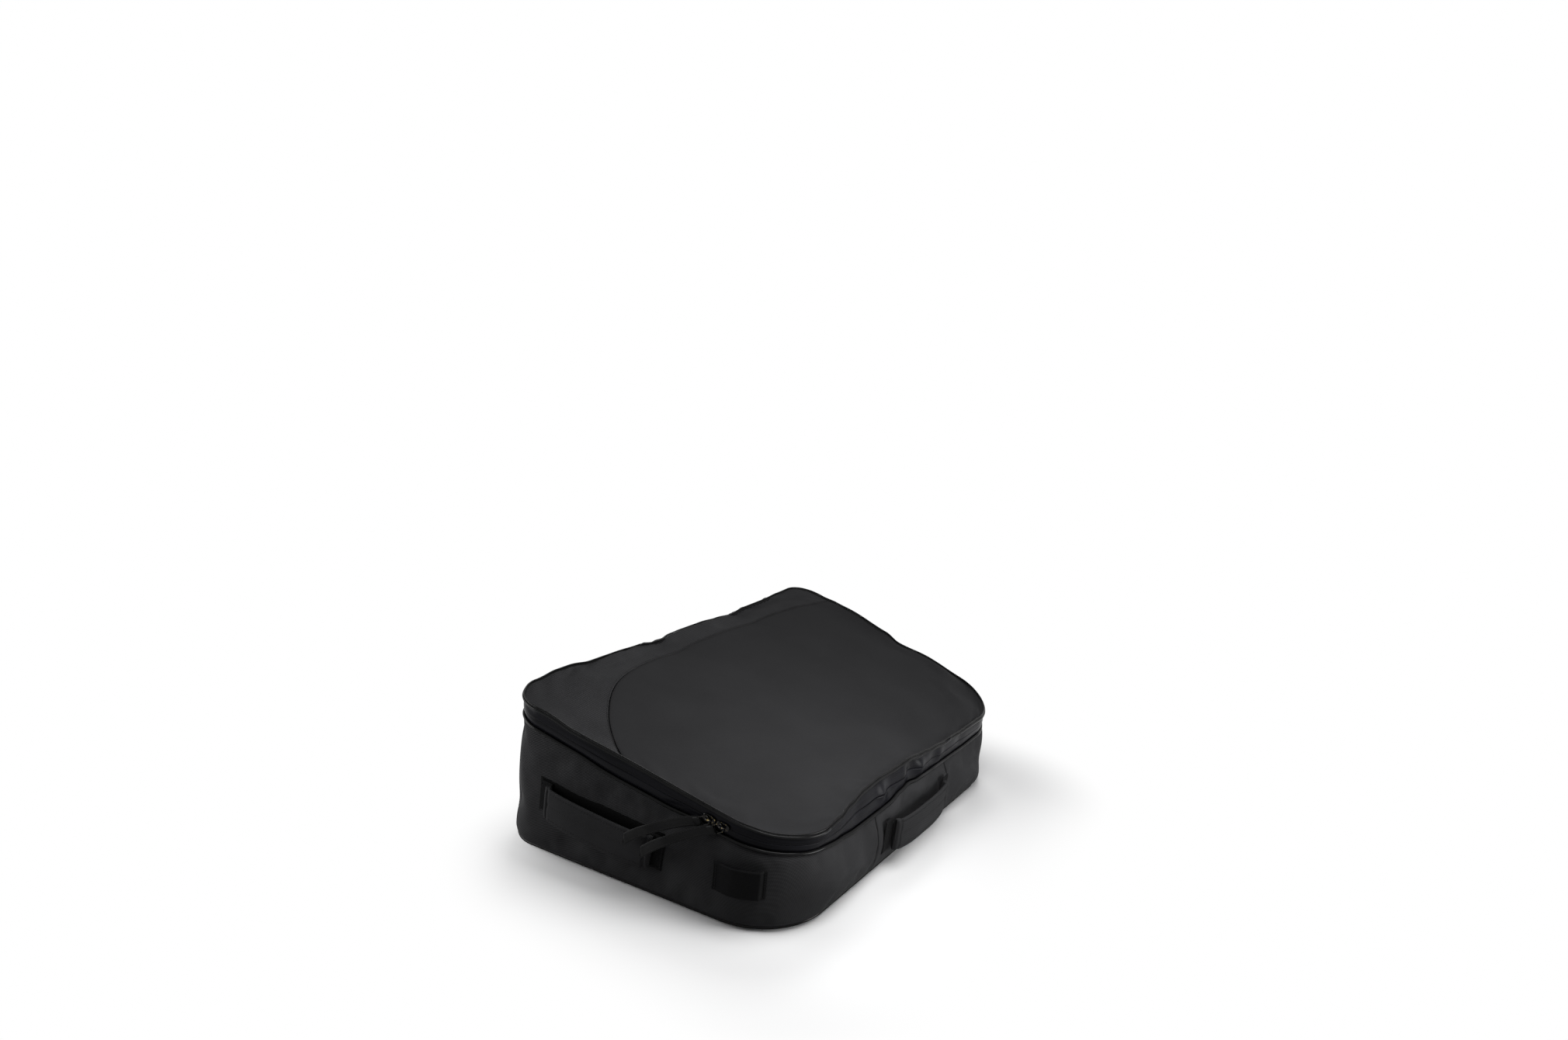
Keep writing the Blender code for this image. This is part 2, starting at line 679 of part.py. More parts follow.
def slider_with_pull(letter, s, mesh, axis_frame, turn):
    """One slider on its joint's empty, with its bail and strap on an empty on the bridge pin."""
    joint = empty("slider_" + letter + "_joint", axis_frame)
    frame = edge_frame(s, 0, ZIP_LINE)
    facing = Matrix.Rotation(turn, 4, 'Z')
    slider = bpy.data.objects.new("zip_slider_" + letter, mesh)
    slider.matrix_world = frame @ facing
    bpy.context.scene.collection.objects.link(slider)
    finish(slider, "metal", joint)
    pin_height = OUTER_PLAY - TAPE_INSET + SLIDER_PLATE + 0.0015
    hang = Matrix.Rotation(math.pi + math.radians(PULL_ANGLES[letter]), 4, 'Z')
    pin = frame @ Matrix.Translation((0, 0, pin_height)) @ hang
    pull = empty("pull_" + letter + "_joint", pin)
    pull.parent = joint
    pull.matrix_parent_inverse = joint.matrix_world.inverted()
    bail = tube("zip_bail_" + letter, bail_points(), BAIL_RADIUS, closed=True, sides=2, frame=pin)
    finish(bail, "metal", pull)
    tongue, tools = strap("pull_strap_" + letter, pin_height)
    for item in (tongue,) + tools:
        item.matrix_world = pin @ item.matrix_world
    finish(tongue, "webbing", pull)


def make_sliders():
    mesh = slider_mesh()
    place_b = SIDE_END - SLIDER_LEAD
    place_a = place_b - SLIDER_PITCH
    slider_with_pull("a", place_a, mesh, edge_frame(place_a, 0, ZIP_LINE), 0)
    centre = lid_point(nose_centre(), ZIP_LINE)
    axis = Matrix.Translation(centre) @ Matrix.Rotation(SLOPE, 4, 'X')
    slider_with_pull("b", place_b, mesh, axis, math.pi)


def main():
    clear_scene()
    make_collection(COLLECTION)
    make_collection("cutters")
    hinge = edge_point(0, -TAPE_INSET, ZIP_LINE)
    lid_axis = empty("lid_hinge", Matrix.Translation(hinge))
    make_tub()
    make_zip(lid_axis)
    make_lid(lid_axis)
    make_handles()
    make_sliders()


main()
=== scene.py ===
import math
import bpy
import numpy as np
from mathutils import Matrix, Vector


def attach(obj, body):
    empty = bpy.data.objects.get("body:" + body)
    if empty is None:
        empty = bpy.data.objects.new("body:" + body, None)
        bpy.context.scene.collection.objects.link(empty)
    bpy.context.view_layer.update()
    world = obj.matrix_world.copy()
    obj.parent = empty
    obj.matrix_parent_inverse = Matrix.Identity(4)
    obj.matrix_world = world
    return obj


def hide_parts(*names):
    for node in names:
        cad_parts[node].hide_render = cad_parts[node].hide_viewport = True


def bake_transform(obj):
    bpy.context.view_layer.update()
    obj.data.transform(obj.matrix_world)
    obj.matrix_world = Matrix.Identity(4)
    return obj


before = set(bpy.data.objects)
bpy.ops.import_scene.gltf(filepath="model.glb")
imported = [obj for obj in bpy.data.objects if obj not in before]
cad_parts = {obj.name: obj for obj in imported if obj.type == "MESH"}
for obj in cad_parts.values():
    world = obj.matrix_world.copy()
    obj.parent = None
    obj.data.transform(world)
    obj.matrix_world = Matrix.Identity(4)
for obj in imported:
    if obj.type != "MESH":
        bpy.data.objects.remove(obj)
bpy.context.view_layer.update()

# The bag's sizes, in metres, as its solids have them.
REAR_WIDTH, NOSE_WIDTH, LID_DEPTH = 0.710, 0.630, 0.428
REAR_HEIGHT, NOSE_HEIGHT = 0.213, 0.130
REAR_RADIUS, NOSE_RADIUS = 0.046, 0.096
DOME, BAND = 0.011, 0.0255
BULGE_REAR, BULGE_SIDE, BULGE_NOSE, CORNER_SHARE = 0.006, 0.007, 0.011, 0.5
FLARE, FLARE_REAR = 0.003, 0.009
PIPE_RADIUS, PIPE_HEIGHT, GAP = 0.002, 0.0055, 0.0003
NOSE_SEAM_X = 0.110
LID_SEAM_Y, LID_SEAM_REACH = 0.171, 0.336
FALL_LEFT, FALL_RIGHT = 0.143, 0.025
HANDLE_SPAN, HANDLE_HEIGHT, HANDLE_Y = 0.193, 0.047, 0.063
PATCH_WIDTH, PATCH_HEIGHT = 0.020, 0.050
LOOP_LENGTH, LOOP_THICK, LOOP_START = 0.064, 0.0016, 0.010
SLIDER_LEAD, SLIDER_PITCH, BAIL_LENGTH = 0.006, 0.0195, 0.013
STRAP_LENGTH, STRAP_WIDTH, STRAP_CLEARANCE = 0.095, 0.0135, 0.0315
PULL_ANGLES = {"a": 41.5, "b": 45.5}
SLIDER_B_TURN = math.radians(38)

# Where the lid's middle lies in the solids, and how far a bail's pin stands off the band.
CENTRE_Y, PIN_HEIGHT = 0.009552, 0.0037
# The scene's own, closer to the photo than the solids: the loop's, and how far a grip sags.
LOOP_HEIGHT, LOOP_STANDOFF, LOOP_RISE, SAG = 0.040, 0.0048, 0.0065, 0.0012
# How each strap hangs: lean and bow aside, rise over the clearance, and the phase of its curl.
PULL_HANGS = {"a": (-0.0080, -0.0085, 0.0014, 0), "b": (-0.0068, -0.0070, -0.0014, 1.4)}
# Foot of the cloth, the black backing behind a side grip (its black is partly painted shade for the gap
# there), and the raised nose handle.
FOOT_RADIUS, FOOT_SWELL = 0.015, 0.0035
BACKING_HEIGHT, NOSE_HANDLE_RISE = 0.056, 0.004
# Radii of the pipings and the welt, and what the zip and the hinge are made of.
LID_PIPE, WELT, WALL_PIPE, FOOT_PIPE = 0.0020, 0.0011, 0.0023, 0.0022
TAPE_THICK, HINGE_THICK, COIL_RADIUS, COIL_PITCH = 0.0012, 0.0014, 0.00115, 0.0022
# Grip: how far it stands off the wall at its ends, and how much more at its middle; its half thickness; the
# droop and the lean of its belly. Then the same stand-off and half thickness for its rolled ends.
GRIP_STAND, GRIP_RISE, GRIP_HALF, GRIP_DROOP, GRIP_LEAN = 0.0100, 0.0048, 0.0027, 0.0012, 0.0016
ROLL_STAND, ROLL_HALF = 0.0074, 0.0054
# Inside bindings behind the walls, and how far a wall seam sinks in.
BINDING_SET, BINDING_THICK, SEAM_SINK = 0.0050, 0.0008, 0.0011
# Stitches: one every so far, their length and their half thickness.
PATCH_STITCH, LOOP_STITCH = (0.0036, 0.0026, 0.0003), (0.0034, 0.0026, 0.0003)
STRAP_STITCH = (0.0034, 0.0024, 0.00028)
# The lid's cloth starts this far inside its edge, a seam has points this far on either side, and the lid's
# seam is this row of its grid, counted from 0.
EDGE_INSET, LINE_STEP, SEAM_ROW = 0.0012, 0.0022, 14
# The band's cloths run between these shares of its height.
BAND_TOP, BAND_FOOT = 0.055, 0.955
# Thickness of the cloths, and the height that the walls' weave is laid out on.
LID_CLOTH, WALL_CLOTH, BASE_THICK, WEAVE_HEIGHT = 0.0040, 0.0036, 0.003, 0.16
# How the cloths drape: share that they grow by, pressure of the filling, and the furthest that a point moves.
LID_GROWTH, LID_FILLING, LID_LIMIT = 0.006, 1.2, 0.005
WALL_GROWTH, WALL_FILLING, WALL_LIMIT = 0.010, 1.6, 0.0045

SLOPE = math.asin((REAR_HEIGHT - NOSE_HEIGHT) / LID_DEPTH)
MID_HEIGHT = (REAR_HEIGHT + NOSE_HEIGHT) / 2
TAPER = math.atan((REAR_WIDTH - NOSE_WIDTH) / 2 / LID_DEPTH)
REAR_TANGENT = REAR_RADIUS * math.tan((math.pi / 2 + TAPER) / 2)
NOSE_TANGENT = NOSE_RADIUS * math.tan((math.pi / 2 - TAPER) / 2)
REAR_END = REAR_WIDTH / 2 - REAR_TANGENT
SIDE_START = REAR_END + REAR_RADIUS * (math.pi / 2 + TAPER)
SIDE_END = SIDE_START + LID_DEPTH / math.cos(TAPER) - REAR_TANGENT - NOSE_TANGENT
NOSE_START = SIDE_END + NOSE_RADIUS * (math.pi / 2 - TAPER)
HALF = NOSE_START + NOSE_WIDTH / 2 - NOSE_TANGENT
ROUND = 2 * HALF
WALL_BOTTOM = PIPE_HEIGHT + PIPE_RADIUS + GAP
WALL_TOP = -BAND - PIPE_RADIUS - GAP
SLIDER_B_END = SIDE_END - SLIDER_LEAD + NOSE_RADIUS * SLIDER_B_TURN
NOSE_CENTRE = (NOSE_TANGENT - NOSE_WIDTH / 2, NOSE_RADIUS - LID_DEPTH / 2)
CORNER_SEAM = (REAR_END + SIDE_START) / 2
NOSE_SEAM = HALF - NOSE_SEAM_X
SIDE_HANDLE = SIDE_START + (LID_DEPTH / 2 - REAR_TANGENT * math.cos(TAPER)
                            - (HANDLE_Y - CENTRE_Y)) / math.cos(TAPER)

# How the real edges wave: distance round the edge, rise and inward pull, in millimetres.
LID_EDGE = np.array((
    (0, -2.2, 0), (25, -3, 0), (45, -6.5, 1), (62, -6, 1), (97, -2, 0), (150, 0, 0), (197, 0.5, 0),
    (240, 4.8, -1), (265, 5, -1), (300, 2.2, 0), (345, 0, 0), (400, 2, 1), (440, -1, 0), (540, 0.5, 0),
    (620, 0, 0), (700, 0, 0), (735, -1.5, 0), (800, -3, -1), (840, -0.5, 0), (870, 4, 3), (910, 7.5, 6),
    (950, 8, 7), (1000, 6.2, 6), (1035, 7, 5), (1070, 3.8, 3), (1100, 1.5, 1), (1150, -2, 0),
    (1210, -4.5, 0), (1330, -7, 0), (1400, -4, 1), (1470, -1, 0), (1530, -4, 3), (1560, 0, 0),
    (1633, 3, -1), (1668, 2, 0), (1703, -1, 0), (1760, 0.5, 0), (1810, -1, 0), (1860, -3.8, 0),
    (1910, -4.3, 0), (1948, -7.5, 1), (1990, -5, 0), (2030, -2.5, 0)))
WALL_EDGE = np.array((
    (0, -1, 0), (150, 0, 0), (260, 2, 0), (345, 0, 0), (440, -2, 0), (500, -5.5, 0), (580, -4, 0),
    (632, 0, 0), (700, 0, 0), (750, 0, 0), (800, -2, 0), (840, -5, -2), (880, -6, -4), (920, -6, -4),
    (970, -5.5, -4), (1010, -3, -1), (1032, -1, 0), (1060, -3, -2), (1110, -6, -1), (1160, -8.5, 0),
    (1220, -10, 0), (1280, -9, 0), (1360, -6, 0), (1500, -3, 0), (1700, 0, 0), (1948, -2.5, 0)))
# Shallow dents in the lid's cloth: x, y, depth and width in metres, and the turn of their long way.
LID_DENTS = ((-0.300, 0.135, 0.0042, 0.030, 0.7), (-0.262, 0.062, 0.0030, 0.032, -0.6),
             (-0.215, 0.150, -0.0026, 0.040, 0.3), (0.150, 0.192, 0.0030, 0.035, 0.1),
             (-0.050, 0.190, 0.0032, 0.032, 0.2), (0.06, -0.168, 0.0030, 0.032, 0.4),
             (-0.03, -0.165, -0.0026, 0.030, 0.2), (0.300, 0.040, 0.0030, 0.035, 1.4))
# Folds of the wall's cloth: place round the edge, share of the wall's height, how far they stand out, width
# in metres, and tallness as a share of the wall's height.
WALL_FOLDS = ((0.400, 0.25, 0.0030, 0.030, 0.25), (0.455, 0.80, 0.0020, 0.030, 0.12),
              (0.560, 0.86, -0.0022, 0.060, 0.10), (0.840, 0.45, 0.0022, 0.045, 0.35),
              (0.985, 0.90, 0.0046, 0.022, 0.10), (1.055, 0.88, 0.0040, 0.024, 0.10),
              (0.905, 0.70, -0.0025, 0.018, 0.22), (1.170, 0.60, -0.0030, 0.020, 0.25),
              (0.150, 0.55, 0.0030, 0.070, 0.30), (1.960, 0.40, 0.0026, 0.060, 0.25),
              (1.320, 0.48, -0.0090, 0.055, 0.24), (1.320, 0.08, 0.0020, 0.050, 0.09),
              (1.700, 0.30, 0.0024, 0.035, 0.25))
# Puckers of the zip band at the nose, in metres: place round the edge, height and width.
PUCKERS = ((0.885, -0.0024, 0.015), (0.955, 0.0044, 0.011), (0.980, -0.0012, 0.010),
           (1.005, 0.0016, 0.012), (1.035, -0.0022, 0.013), (1.066, 0.0040, 0.011),
           (1.120, -0.0016, 0.018))


# The pattern's edge and the surfaces that follow it.
def pattern(s):
    """Points and outward normals on the flat pattern: straight rear, corner arc, tapered side, nose arc,
    straight nose, and the same mirrored, s metres round from the rear's middle by the left."""
    s = np.asarray(s, float) % ROUND
    side = np.where(s > HALF, -1.0, 1.0)
    s = np.where(s > HALF, ROUND - s, s)
    one = np.ones_like(s)
    rear = math.pi / 2 + (s - REAR_END) / REAR_RADIUS
    nose = math.pi + TAPER + (s - SIDE_END) / NOSE_RADIUS
    run = REAR_TANGENT + s - SIDE_START
    parts = (s <= REAR_END, s <= SIDE_START, s <= SIDE_END, s <= NOSE_START)
    nx = np.select(parts, (0 * one, np.cos(rear), -math.cos(TAPER) * one, np.cos(nose)), 0 * one)
    ny = np.select(parts, (one, np.sin(rear), -math.sin(TAPER) * one, np.sin(nose)), -one)
    x = np.select(parts, (-s, REAR_RADIUS * nx - REAR_END, run * math.sin(TAPER) - REAR_WIDTH / 2,
                          NOSE_CENTRE[0] + NOSE_RADIUS * nx), s - HALF)
    y = np.select(parts, (LID_DEPTH / 2 * one, LID_DEPTH / 2 - REAR_RADIUS + REAR_RADIUS * ny,
                          LID_DEPTH / 2 - run * math.cos(TAPER), NOSE_CENTRE[1] + NOSE_RADIUS * ny),
                  -LID_DEPTH / 2 * one)
    return np.stack((x * side, y), -1), np.stack((nx * side, ny), -1)


def lid_point(flat, drop=0.0):
    """The flat pattern tilted by the lid's slope about its middle, then raised by drop."""
    return np.stack((flat[..., 0], flat[..., 1] * math.cos(SLOPE) + CENTRE_Y,
                     MID_HEIGHT + flat[..., 1] * math.sin(SLOPE) + drop), -1)


def edge_point(s, out=0.0, drop=0.0):
    """Pattern point moved out along its normal on the lid's plane, then raised by drop."""
    flat, normal = pattern(s)
    return lid_point(flat + normal * np.asarray(out, float)[..., None], drop)


def wave(table, s):
    """Rise and inward pull at s: the table's marks joined by half cosine waves."""
    s = np.asarray(s, float) % ROUND
    marks = np.append(table[:, 0] / 1000, ROUND)
    k = np.clip(np.searchsorted(marks, s, side="right") - 1, 0, len(table) - 1)
    share = (s - marks[k]) / (marks[k + 1] - marks[k])
    ease = ((1 - np.cos(math.pi * share)) / 2)[..., None]
    values = np.vstack((table[:, 1:], table[:1, 1:])) / 1000
    mixed = values[k] * (1 - ease) + values[k + 1] * ease
    return mixed[..., 0], mixed[..., 1]


def waved(s, out, drop, low):
    """Edge point with the real edge's waves: the lid's where low is 0, the wall's where it is 1."""
    low = np.asarray(low, float)
    rise_top, pull_top = wave(LID_EDGE, s)
    rise_low, pull_low = wave(WALL_EDGE, s)
    rise = rise_top * (1 - low) + rise_low * low
    pull = pull_top * (1 - low) + pull_low * low
    return edge_point(s, out - pull, drop + rise)


def bulge(s):
    """How far the wall stands out at mid height: set for each side, less half a sine round each corner."""
    s = HALF - np.abs(HALF - np.asarray(s, float) % ROUND)
    marks = (REAR_END, SIDE_START, SIDE_END, NOSE_START)
    base = np.interp(s, marks, (BULGE_REAR, BULGE_SIDE, BULGE_SIDE, BULGE_NOSE))
    rear = np.clip((s - REAR_END) / (SIDE_START - REAR_END), 0, 1)
    nose = np.clip((s - SIDE_END) / (NOSE_START - SIDE_END), 0, 1)
    return base * (1 - (1 - CORNER_SHARE) * (np.sin(math.pi * rear) + np.sin(math.pi * nose)))


def wall_point(s, out, share):
    """Wall at a share of its height: flare at the foot, half a sine of bulge, the edge's waves at the top."""
    s, out, share = np.broadcast_arrays(np.asarray(s, float), out, share)
    rear = np.maximum(pattern(s)[1][..., 1], 0)
    stand = (FLARE + FLARE_REAR * rear) * (1 - share) + bulge(s) * np.sin(math.pi * np.clip(share, 0, 1))
    rise, pull = wave(WALL_EDGE, s)
    near = np.clip(share, 0, 1) ** 3
    p = edge_point(s, out + stand - pull * near, WALL_TOP)
    p[..., 2] = WALL_BOTTOM + (p[..., 2] - WALL_BOTTOM) * share + rise * near
    return p


def foot_roll(z):
    """Outward shift at height z: a bell-shaped swell above the foot, less a quarter circle's curve in under
    it."""
    z = np.asarray(z, float)
    under = FOOT_RADIUS * (1 - np.sqrt(np.clip(1 - np.clip(1 - z / FOOT_RADIUS, 0, 1) ** 2, 0, 1)))
    return FOOT_SWELL * np.exp(-(np.maximum(z - FOOT_RADIUS, 0) / 0.03) ** 2) - under


def band_point(s, out, w):
    """Zip band from the lid's piping (w 0) down to the wall's (w 1), with the nose's puckers as bell curves
    along it and a sine across it. They are repeated, mirrored and lower, on the right."""
    s, out, w = np.broadcast_arrays(np.asarray(s, float), out, w)
    swell = sum(height * np.exp(-((s - at) / width) ** 2) for at, height, width in PUCKERS)
    swell = swell + sum(height * np.exp(-((ROUND - s - at) / width) ** 2) * 0.6
                        for at, height, width in PUCKERS)
    return waved(s, out + swell * np.sin(math.pi * w), -BAND * w, w)


def lid_half_width(y):
    """Half the lid's width at y on the flat pattern, inside its piping."""
    s = np.linspace(REAR_END, NOSE_START, 3000)
    flat, normal = pattern(s)
    inner = flat - normal * EDGE_INSET
    return np.interp(-y, -inner[:, 1], -inner[:, 0])


def lid_rows():
    """Flat pattern grid, rows rear to nose, whose 15th row is the curved seam: x is u times the lid's half
    width there. The seam falls from its level at the middle by the fourth power of the way out."""
    u = np.linspace(-1, 1, 105)
    top, foot = LID_DEPTH / 2 - EDGE_INSET, EDGE_INSET - LID_DEPTH / 2
    seam = np.full_like(u, LID_SEAM_Y)
    for _ in range(60):
        x = u * lid_half_width(seam)
        fall = np.where(u < 0, FALL_LEFT, FALL_RIGHT)
        seam = seam * 0.6 + 0.4 * (LID_SEAM_Y - fall * (x / LID_SEAM_REACH) ** 4)
    rear = (np.arange(13) / 12) ** 2
    rows = [top - (top - seam - 0.005) * r for r in rear] + [seam + LINE_STEP, seam, seam - LINE_STEP]
    front = 1 - (1 - np.arange(53) / 52) ** 1.6
    rows += [seam - 0.005 - (seam - 0.005 - foot) * f for f in front]
    y = np.array(rows)
    x = u * lid_half_width(y)
    return u, x, y


def frame_at(s, out, drop, share=1.0):
    """Origin and axes on the edge: X along it, Y up, Z outward; share 0.5 follows the wall's middle."""
    normal = pattern(s)[1]
    along = np.array((-normal[1], normal[0] * math.cos(SLOPE), normal[0] * math.sin(SLOPE) * share))
    outward = np.array((along[1], -along[0], 0)) / np.hypot(along[0], along[1])
    along /= np.linalg.norm(along)
    axes = np.stack((along, np.cross(outward, along), outward))
    return edge_point(np.float64(s), out, drop), axes


def rounded(turn, power):
    """Section between a circle (power 1) and a square (power 0): cosine and sine to that power, with their
    signs kept."""
    return [np.sign(side) * np.abs(side) ** power for side in (np.cos(turn), np.sin(turn))]


def placed(points, origin, axes):
    """Points of a piece's own frame set into the bag's."""
    return origin + points @ axes


# Meshes.
def surface(name, points, uv, wrap_rows=False, wrap_columns=False, flip=False, ends=False):
    """Grid of points joined into quads; a wrapped side closes on itself, and ends caps a closed section."""
    rows, columns = points.shape[:2]
    i, j = np.meshgrid(np.arange(rows - 1 + wrap_rows), np.arange(columns - 1 + wrap_columns), indexing="ij")
    corners = [(i, j), (i, j + 1), (i + 1, j + 1), (i + 1, j)]
    if flip:
        corners.reverse()
    quads = np.stack([(a % rows) * columns + b % columns for a, b in corners], -1).reshape(-1, 4)
    loops = np.stack([uv[a, b] for a, b in corners], -2).reshape(-1, 2)
    faces = quads.tolist()
    if ends:
        ring = np.arange(rows) * columns
        for cap in (ring[::-1], ring + columns - 1):
            cap = cap[::-1] if flip else cap
            faces.append(cap.tolist())
            loops = np.vstack((loops, np.zeros((rows, 2))))
    return mesh_piece(name, points.reshape(-1, 3), faces, loops)


def mesh_piece(name, points, faces, loops=None):
    """Smooth-shaded mesh object from points and faces, with a UV place for each face corner."""
    mesh = bpy.data.meshes.new(name)
    mesh.from_pydata(np.asarray(points, float).tolist(), [], faces)
    if loops is not None:
        mesh.uv_layers.new(name="UVMap").data.foreach_set("uv", np.asarray(loops, np.float32).ravel())
    mesh.polygons.foreach_set("use_smooth", np.ones(len(mesh.polygons), bool))
    mesh.update()
    obj = bpy.data.objects.new(name, mesh)
    bpy.context.scene.collection.objects.link(obj)
    return obj


def flat_uv(rows, columns):
    """UV of a grid from its distances along and across, in metres."""
    v, u = np.meshgrid(rows, columns, indexing="ij")
    return np.stack((u, v), -1)


def thicken(obj, thickness, lining=False):
    """Gives a surface its thickness inwards; the lining is the second material."""
    shell = obj.modifiers.new("thickness", 'SOLIDIFY')
    shell.thickness = thickness
    shell.offset = -1.0
    if lining:
        shell.material_offset = 1
    return obj


def smooth(obj):
    """Divides the surface once, so that its folds are round."""
    fine = obj.modifiers.new("smooth", 'SUBSURF')
    fine.levels = fine.render_levels = 1
    return obj


def dress(obj, body, materials, nodes=()):
    """Gives a piece its body and finish, and hides the CAD nodes it stands for."""
    obj.data.materials.clear()
    for mat in (materials if isinstance(materials, tuple) else (materials,)):
        obj.data.materials.append(mat)
    if body:
        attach(obj, body)
    if nodes:
        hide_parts(*nodes)
    return obj


def cord_round(name, centre, radius, lumps=0.0, count=900, start=0.0, end=ROUND, sides=12):
    """Round cord along centre(s, out, drop): a circle of the radius carried round the edge."""
    closed = end - start >= ROUND - 1e-6
    s = np.linspace(start, end, count, endpoint=not closed)
    turn = np.linspace(0, 2 * math.pi, sides, endpoint=False)
    r = radius * (1 + lumps * np.sin(s * 210) * np.sin(s * 57 + 1))
    points = centre(s[None, :], r * np.cos(turn)[:, None], r * np.sin(turn)[:, None])
    uv = flat_uv(np.linspace(0, 2 * math.pi * radius, sides + 1), np.linspace(start, end, count + closed))
    return surface(name, points, uv, wrap_rows=True, wrap_columns=closed, ends=not closed)


def stitch_row(points, normals, pitch=0.0042, length=0.0030, radius=0.00034):
    """Spindles along a path: four rings of five points each, sunk at both ends, one every pitch."""
    step = np.linalg.norm(np.diff(points, axis=0), axis=1)
    run = np.concatenate(((0,), np.cumsum(step)))
    count = max(1, int(run[-1] / pitch))
    at = (np.arange(count) + 0.5) * run[-1] / count

    def along(values, where):
        return np.stack([np.interp(where, run, values[:, k]) for k in range(3)], -1)
    tail, head = along(points, at - length / 2), along(points, at + length / 2)
    up = along(normals, at)
    up /= np.linalg.norm(up, axis=1)[:, None]
    ahead = head - tail
    ahead /= np.maximum(np.linalg.norm(ahead, axis=1), 1e-9)[:, None]
    across = np.cross(ahead, up)
    across /= np.maximum(np.linalg.norm(across, axis=1), 1e-9)[:, None]
    rings = []
    for share, size, sink in ((0, 0.45, -0.6), (0.22, 1, 0.25), (0.78, 1, 0.25), (1, 0.45, -0.6)):
        middle = tail + (head - tail) * share + up * radius * sink
        for side in range(5):
            angle = 2 * math.pi * side / 5
            rings.append(middle + radius * size * (across * math.cos(angle) + up * math.sin(angle)))
    return np.stack(rings, 1)


def sewn(path, up, *sizes):
    """A row for thread: its path, the way up along it, and its pitch, length and half thickness if given."""
    return (path, np.tile(up, (len(path), 1)), *sizes)


def thread(name, rows, body, mat):
    """All the stitches of one body as one piece."""
    blocks = np.concatenate([stitch_row(*row) for row in rows])
    quads = [(a * 5 + b, a * 5 + (b + 1) % 5, (a + 1) * 5 + (b + 1) % 5, (a + 1) * 5 + b)
             for a in range(3) for b in range(5)]
    base = np.arange(len(blocks))[:, None, None] * 20
    faces = (base + np.array(quads)[None]).reshape(-1, 4).tolist()
    for cap in ((4, 3, 2, 1, 0), (15, 16, 17, 18, 19)):
        faces += (base[:, 0] + np.array(cap)[None]).tolist()
    obj = mesh_piece(name, blocks.reshape(-1, 3), faces)
    return dress(obj, body, mat)


def drape(points, held, wrap, grow, pressure, cap, frames):
    """Cloth simulation of a grid whose held points stay: the cloth grows a little, so it puckers from its
    seams, and the filling presses it out. No point moves further than cap."""
    rows, columns = points.shape[:2]
    uv = flat_uv(np.arange(rows), np.arange(columns + wrap))
    obj = surface("draped", points, uv, wrap_columns=wrap)
    group = obj.vertex_groups.new(name="held")
    group.add(np.nonzero(held.ravel())[0].tolist(), 1.0, 'REPLACE')
    cloth = obj.modifiers.new("cloth", 'CLOTH')
    look = cloth.settings
    look.vertex_group_mass = "held"
    look.quality = 6
    look.mass = 0.2
    look.tension_stiffness = look.compression_stiffness = 18
    look.shear_stiffness = 6
    look.bending_stiffness = 3
    look.shrink_min = -grow
    look.use_pressure = True
    look.uniform_pressure_force = pressure
    look.effector_weights.gravity = 0
    cloth.point_cache.frame_start, cloth.point_cache.frame_end = 1, frames
    scene = bpy.context.scene
    for step in range(1, frames + 1):
        scene.frame_set(step)
    graph = bpy.context.evaluated_depsgraph_get()
    mesh = obj.evaluated_get(graph).to_mesh()
    new = np.empty(len(mesh.vertices) * 3, np.float32)
    mesh.vertices.foreach_get("co", new)
    bpy.data.objects.remove(obj, do_unlink=True)
    scene.frame_set(1)
    move = new.reshape(points.shape).astype(float) - points
    far = np.linalg.norm(move, axis=-1)[..., None]
    return points + move * np.minimum(1, cap / np.maximum(far, 1e-9))


